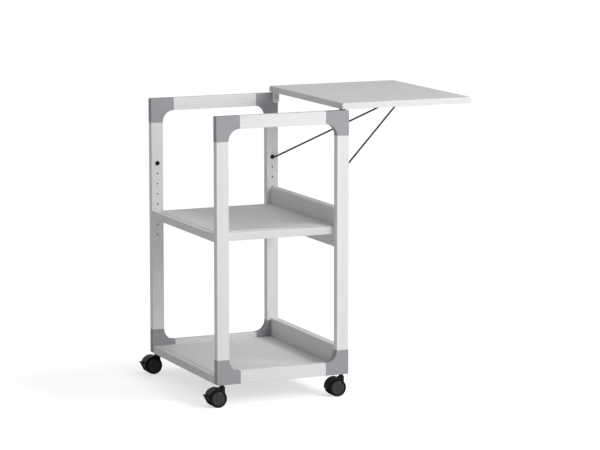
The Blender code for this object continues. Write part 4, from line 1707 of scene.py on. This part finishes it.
    def axle(self) -> Piece:
        """Model the front right axle.

        Returns:
            The axle.
        """
        low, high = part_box("castor_axle_front_right")
        centre = (low + high) / 2
        length, radius, edge = high.x - low.x, self.axle_radius, self.edge
        outline = [(0, 0), (radius - edge, 0), (radius, edge), (radius, length - edge),
                   (radius - edge, length), (0, length)]
        return Workbench.lathe("axle", outline, (low.x, centre.y, centre.z), Axis.X, 32)

    def lever(self) -> Piece:
        """Model the right brake lever: an arm inside the hood and a wide pad outside it.

        Returns:
            The lever.
        """
        at = self.centre(End.FRONT, Side.RIGHT)
        angle = math.radians(self.lever_angle)
        pivot = (at.y + self.lever_pivot * math.cos(angle), at.z + self.lever_pivot * math.sin(angle))
        arm = self._strip(pivot, 0.0, self.arm_thick / 2)
        lever = Workbench.plate("lever", arm, at.x - self.arm_half, at.x + self.arm_half)
        pad = self._strip(pivot, -self.pad_start, self.pad_thick / 2)
        tread = Workbench.plate("pad", pad, at.x - self.pad_half, at.x + self.pad_half)
        Workbench.bevel(tread, lambda place, way: abs(way.x) < 0.5 and place.y < pivot[0] - self.pad_start,
                        self.pad_edge, 3)
        Workbench.combine(lever, tread, "UNION")
        Workbench.clean(lever)
        return lever

    def _strip(self, pivot: Pair, start: float, half: float) -> list[Pair]:
        """Round-ended strip of the lever, rising towards its tip.

        Args:
            pivot: The lever's pivot (y, z).
            start: Where the strip's first end is centred, from the pivot.
            half: Half its thickness.

        Returns:
            The strip's outline.
        """
        rise = self.lever_rise
        slope = math.tan(math.radians(rise))
        tip = half - self.lever_reach
        first = (pivot[0] + start, pivot[1] - start * slope)
        last = (pivot[0] + tip, pivot[1] - tip * slope)
        return arc(first, half, -90 - rise, 90 - rise, 10) + arc(last, half, 90 - rise, 270 - rise, 10)

    def build(self) -> None:
        """Build all castors from one set of parts."""
        rubber, plate = self.wheel_parts()
        hoods = {End.FRONT: self.hood(True), End.BACK: self.hood(False)}
        (stem, collar), axle, lever = self.stem(), self.axle(), self.lever()
        start = self.centre(End.FRONT, Side.RIGHT)
        for end, side, where in CORNERS:
            to = self.centre(end, side)
            shift = to - start
            body = f"castor_{where}"
            for part, name, finish, rides, kind in (
                    (hoods[end], "hood", BLACK, body, "hood"), (stem, "stem", ZINC, "root", "stem"),
                    (collar, "stem_collar", BLACK, "root", "stem"), (axle, "axle", ZINC, body, "axle")):
                copy = Workbench.copy(part, f"{name}_{where}", shift)
                hand_in(copy, finish, rides, [f"castor_{kind}_{where}"])
            for which in ("outer", "inner"):
                node = f"castor_wheel_{which}_{where}"
                mirror = (1 if middle(node).x > to.x else -1, 1, 1)
                for part, word, finish in ((rubber, "tread", TREAD), (plate, "disc", DISC)):
                    wheel = Workbench.copy(part, f"wheel_{word}_{which}_{where}", shift, mirror, start)
                    hand_in(wheel, finish, f"wheel_{which}_{where}", [node])
            if end is End.FRONT:
                name = f"lever_{side.word}"
                hand_in(Workbench.copy(lever, name, shift), BLACK, f"brake_{side.word}", [f"brake_{name}"])
        Workbench.discard(rubber, plate, stem, collar, axle, lever, *hoods.values())


# ---- Studio --------------------------------------------------------------------------------


@dataclass
class Studio:
    """Pale floor, soft lights and the camera."""

    floor_size: float = 120.0
    azimuth: float = 66.08
    elevation: float = 8.851
    distance: float = 8.0215
    aside: float = 0.15135
    above: float = 0.026475
    aim_height: float = 0.436
    lens: float = 168.02
    floor_glow: float = 0.60
    key_strength: float = 1.0
    side_strength: float = 52.0
    side_size: float = 1.8
    side_from: Colour = (2.55, 1.30, 1.30)
    key_angle: float = 16.0
    key_from: Colour = (0.16, 0.70, 0.72)
    sky: Colour = (0.42, 0.42, 0.425)

    def floor(self) -> None:
        """Lay the floor with a pale, evenly lit material."""
        Workbench.clear()
        bpy.ops.mesh.primitive_plane_add(size=self.floor_size)
        floor = bpy.context.active_object
        floor.name = "studio_floor"
        sheet = NodeSheet("studio_paper")
        cloud = sheet.noise(0.6, 2.0, 0.5)
        sheet.set(Base_Color=sheet.blend(sheet.span(cloud, 0.0, 0.1), (0.66, 0.66, 0.66), (0.64, 0.64, 0.64)))
        sheet.set(Roughness=0.9, Specular_IOR_Level=0.1, Emission_Color=(1.0, 1.0, 1.0, 1.0))
        seen = sheet.tree.nodes.new("ShaderNodeLightPath").outputs["Is Camera Ray"]
        sheet.set(Emission_Strength=sheet.add(seen, self.floor_glow, "MULTIPLY"))
        floor.data.materials.append(sheet.material)

    def lamp(self, name: str, kind: str, place: Place, aim: Place, energy: float, size: float) -> None:
        """Hang a lamp and aim it.

        Args:
            name: Its name.
            kind: SUN or AREA.
            place: Where it hangs.
            aim: Where it points.
            energy: Its strength.
            size: Width of an area lamp in metres, or angle of a sun in degrees.
        """
        bpy.ops.object.light_add(type=kind, location=place)
        lamp = bpy.context.active_object
        lamp.name = name
        lamp.data.energy = energy
        if kind == "SUN":
            lamp.data.angle = math.radians(size)
        else:
            lamp.data.shape = "DISK"
            lamp.data.size = size
        way = Vector(aim) - Vector(place)
        lamp.rotation_euler = way.to_track_quat("-Z", "Y").to_euler()

    def lights(self) -> None:
        """Set the sky and the lamps."""
        world = bpy.data.worlds.new("studio_sky")
        world.use_nodes = True
        world.node_tree.nodes["Background"].inputs["Color"].default_value = (*self.sky, 1.0)
        bpy.context.scene.world = world
        aim = Vector((0, middle("beam_top_right").y, 0.40))
        self.lamp("key_light", "SUN", aim + Vector(self.key_from) * 5, aim, self.key_strength, self.key_angle)
        self.lamp("side_light", "AREA", aim + Vector(self.side_from), aim, self.side_strength, self.side_size)

    def camera(self) -> None:
        """Put up the camera."""
        azimuth, elevation = math.radians(self.azimuth), math.radians(self.elevation)
        back = Vector((math.sin(azimuth) * math.cos(elevation), -math.cos(azimuth) * math.cos(elevation),
                       math.sin(elevation)))
        right = Vector((math.cos(azimuth), math.sin(azimuth), 0))
        up = back.cross(right)
        aim = Vector((0, middle("beam_top_right").y, self.aim_height))
        bpy.ops.object.camera_add(location=aim + back * self.distance + right * self.aside + up * self.above)
        camera = bpy.context.active_object
        camera.name = "studio_camera"
        camera.rotation_euler = (-back).to_track_quat("-Z", "Y").to_euler()
        camera.data.lens = self.lens
        camera.data.sensor_width = 36.0
        bpy.context.scene.camera = camera

    def build(self) -> None:
        """Build the studio."""
        self.floor()
        self.lights()
        self.camera()
        bpy.context.scene.view_settings.view_transform = "Standard"


def main() -> None:
    """Build the whole cart and its studio."""
    logging.basicConfig(level=logging.INFO, format="%(name)s: %(message)s")
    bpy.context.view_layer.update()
    SideFrames().build()
    PressedShelves().build()
    FoldingShelf().build()
    WireStay().build()
    Castors().build()
    Studio().build()


if __name__ == "__main__":
    main()
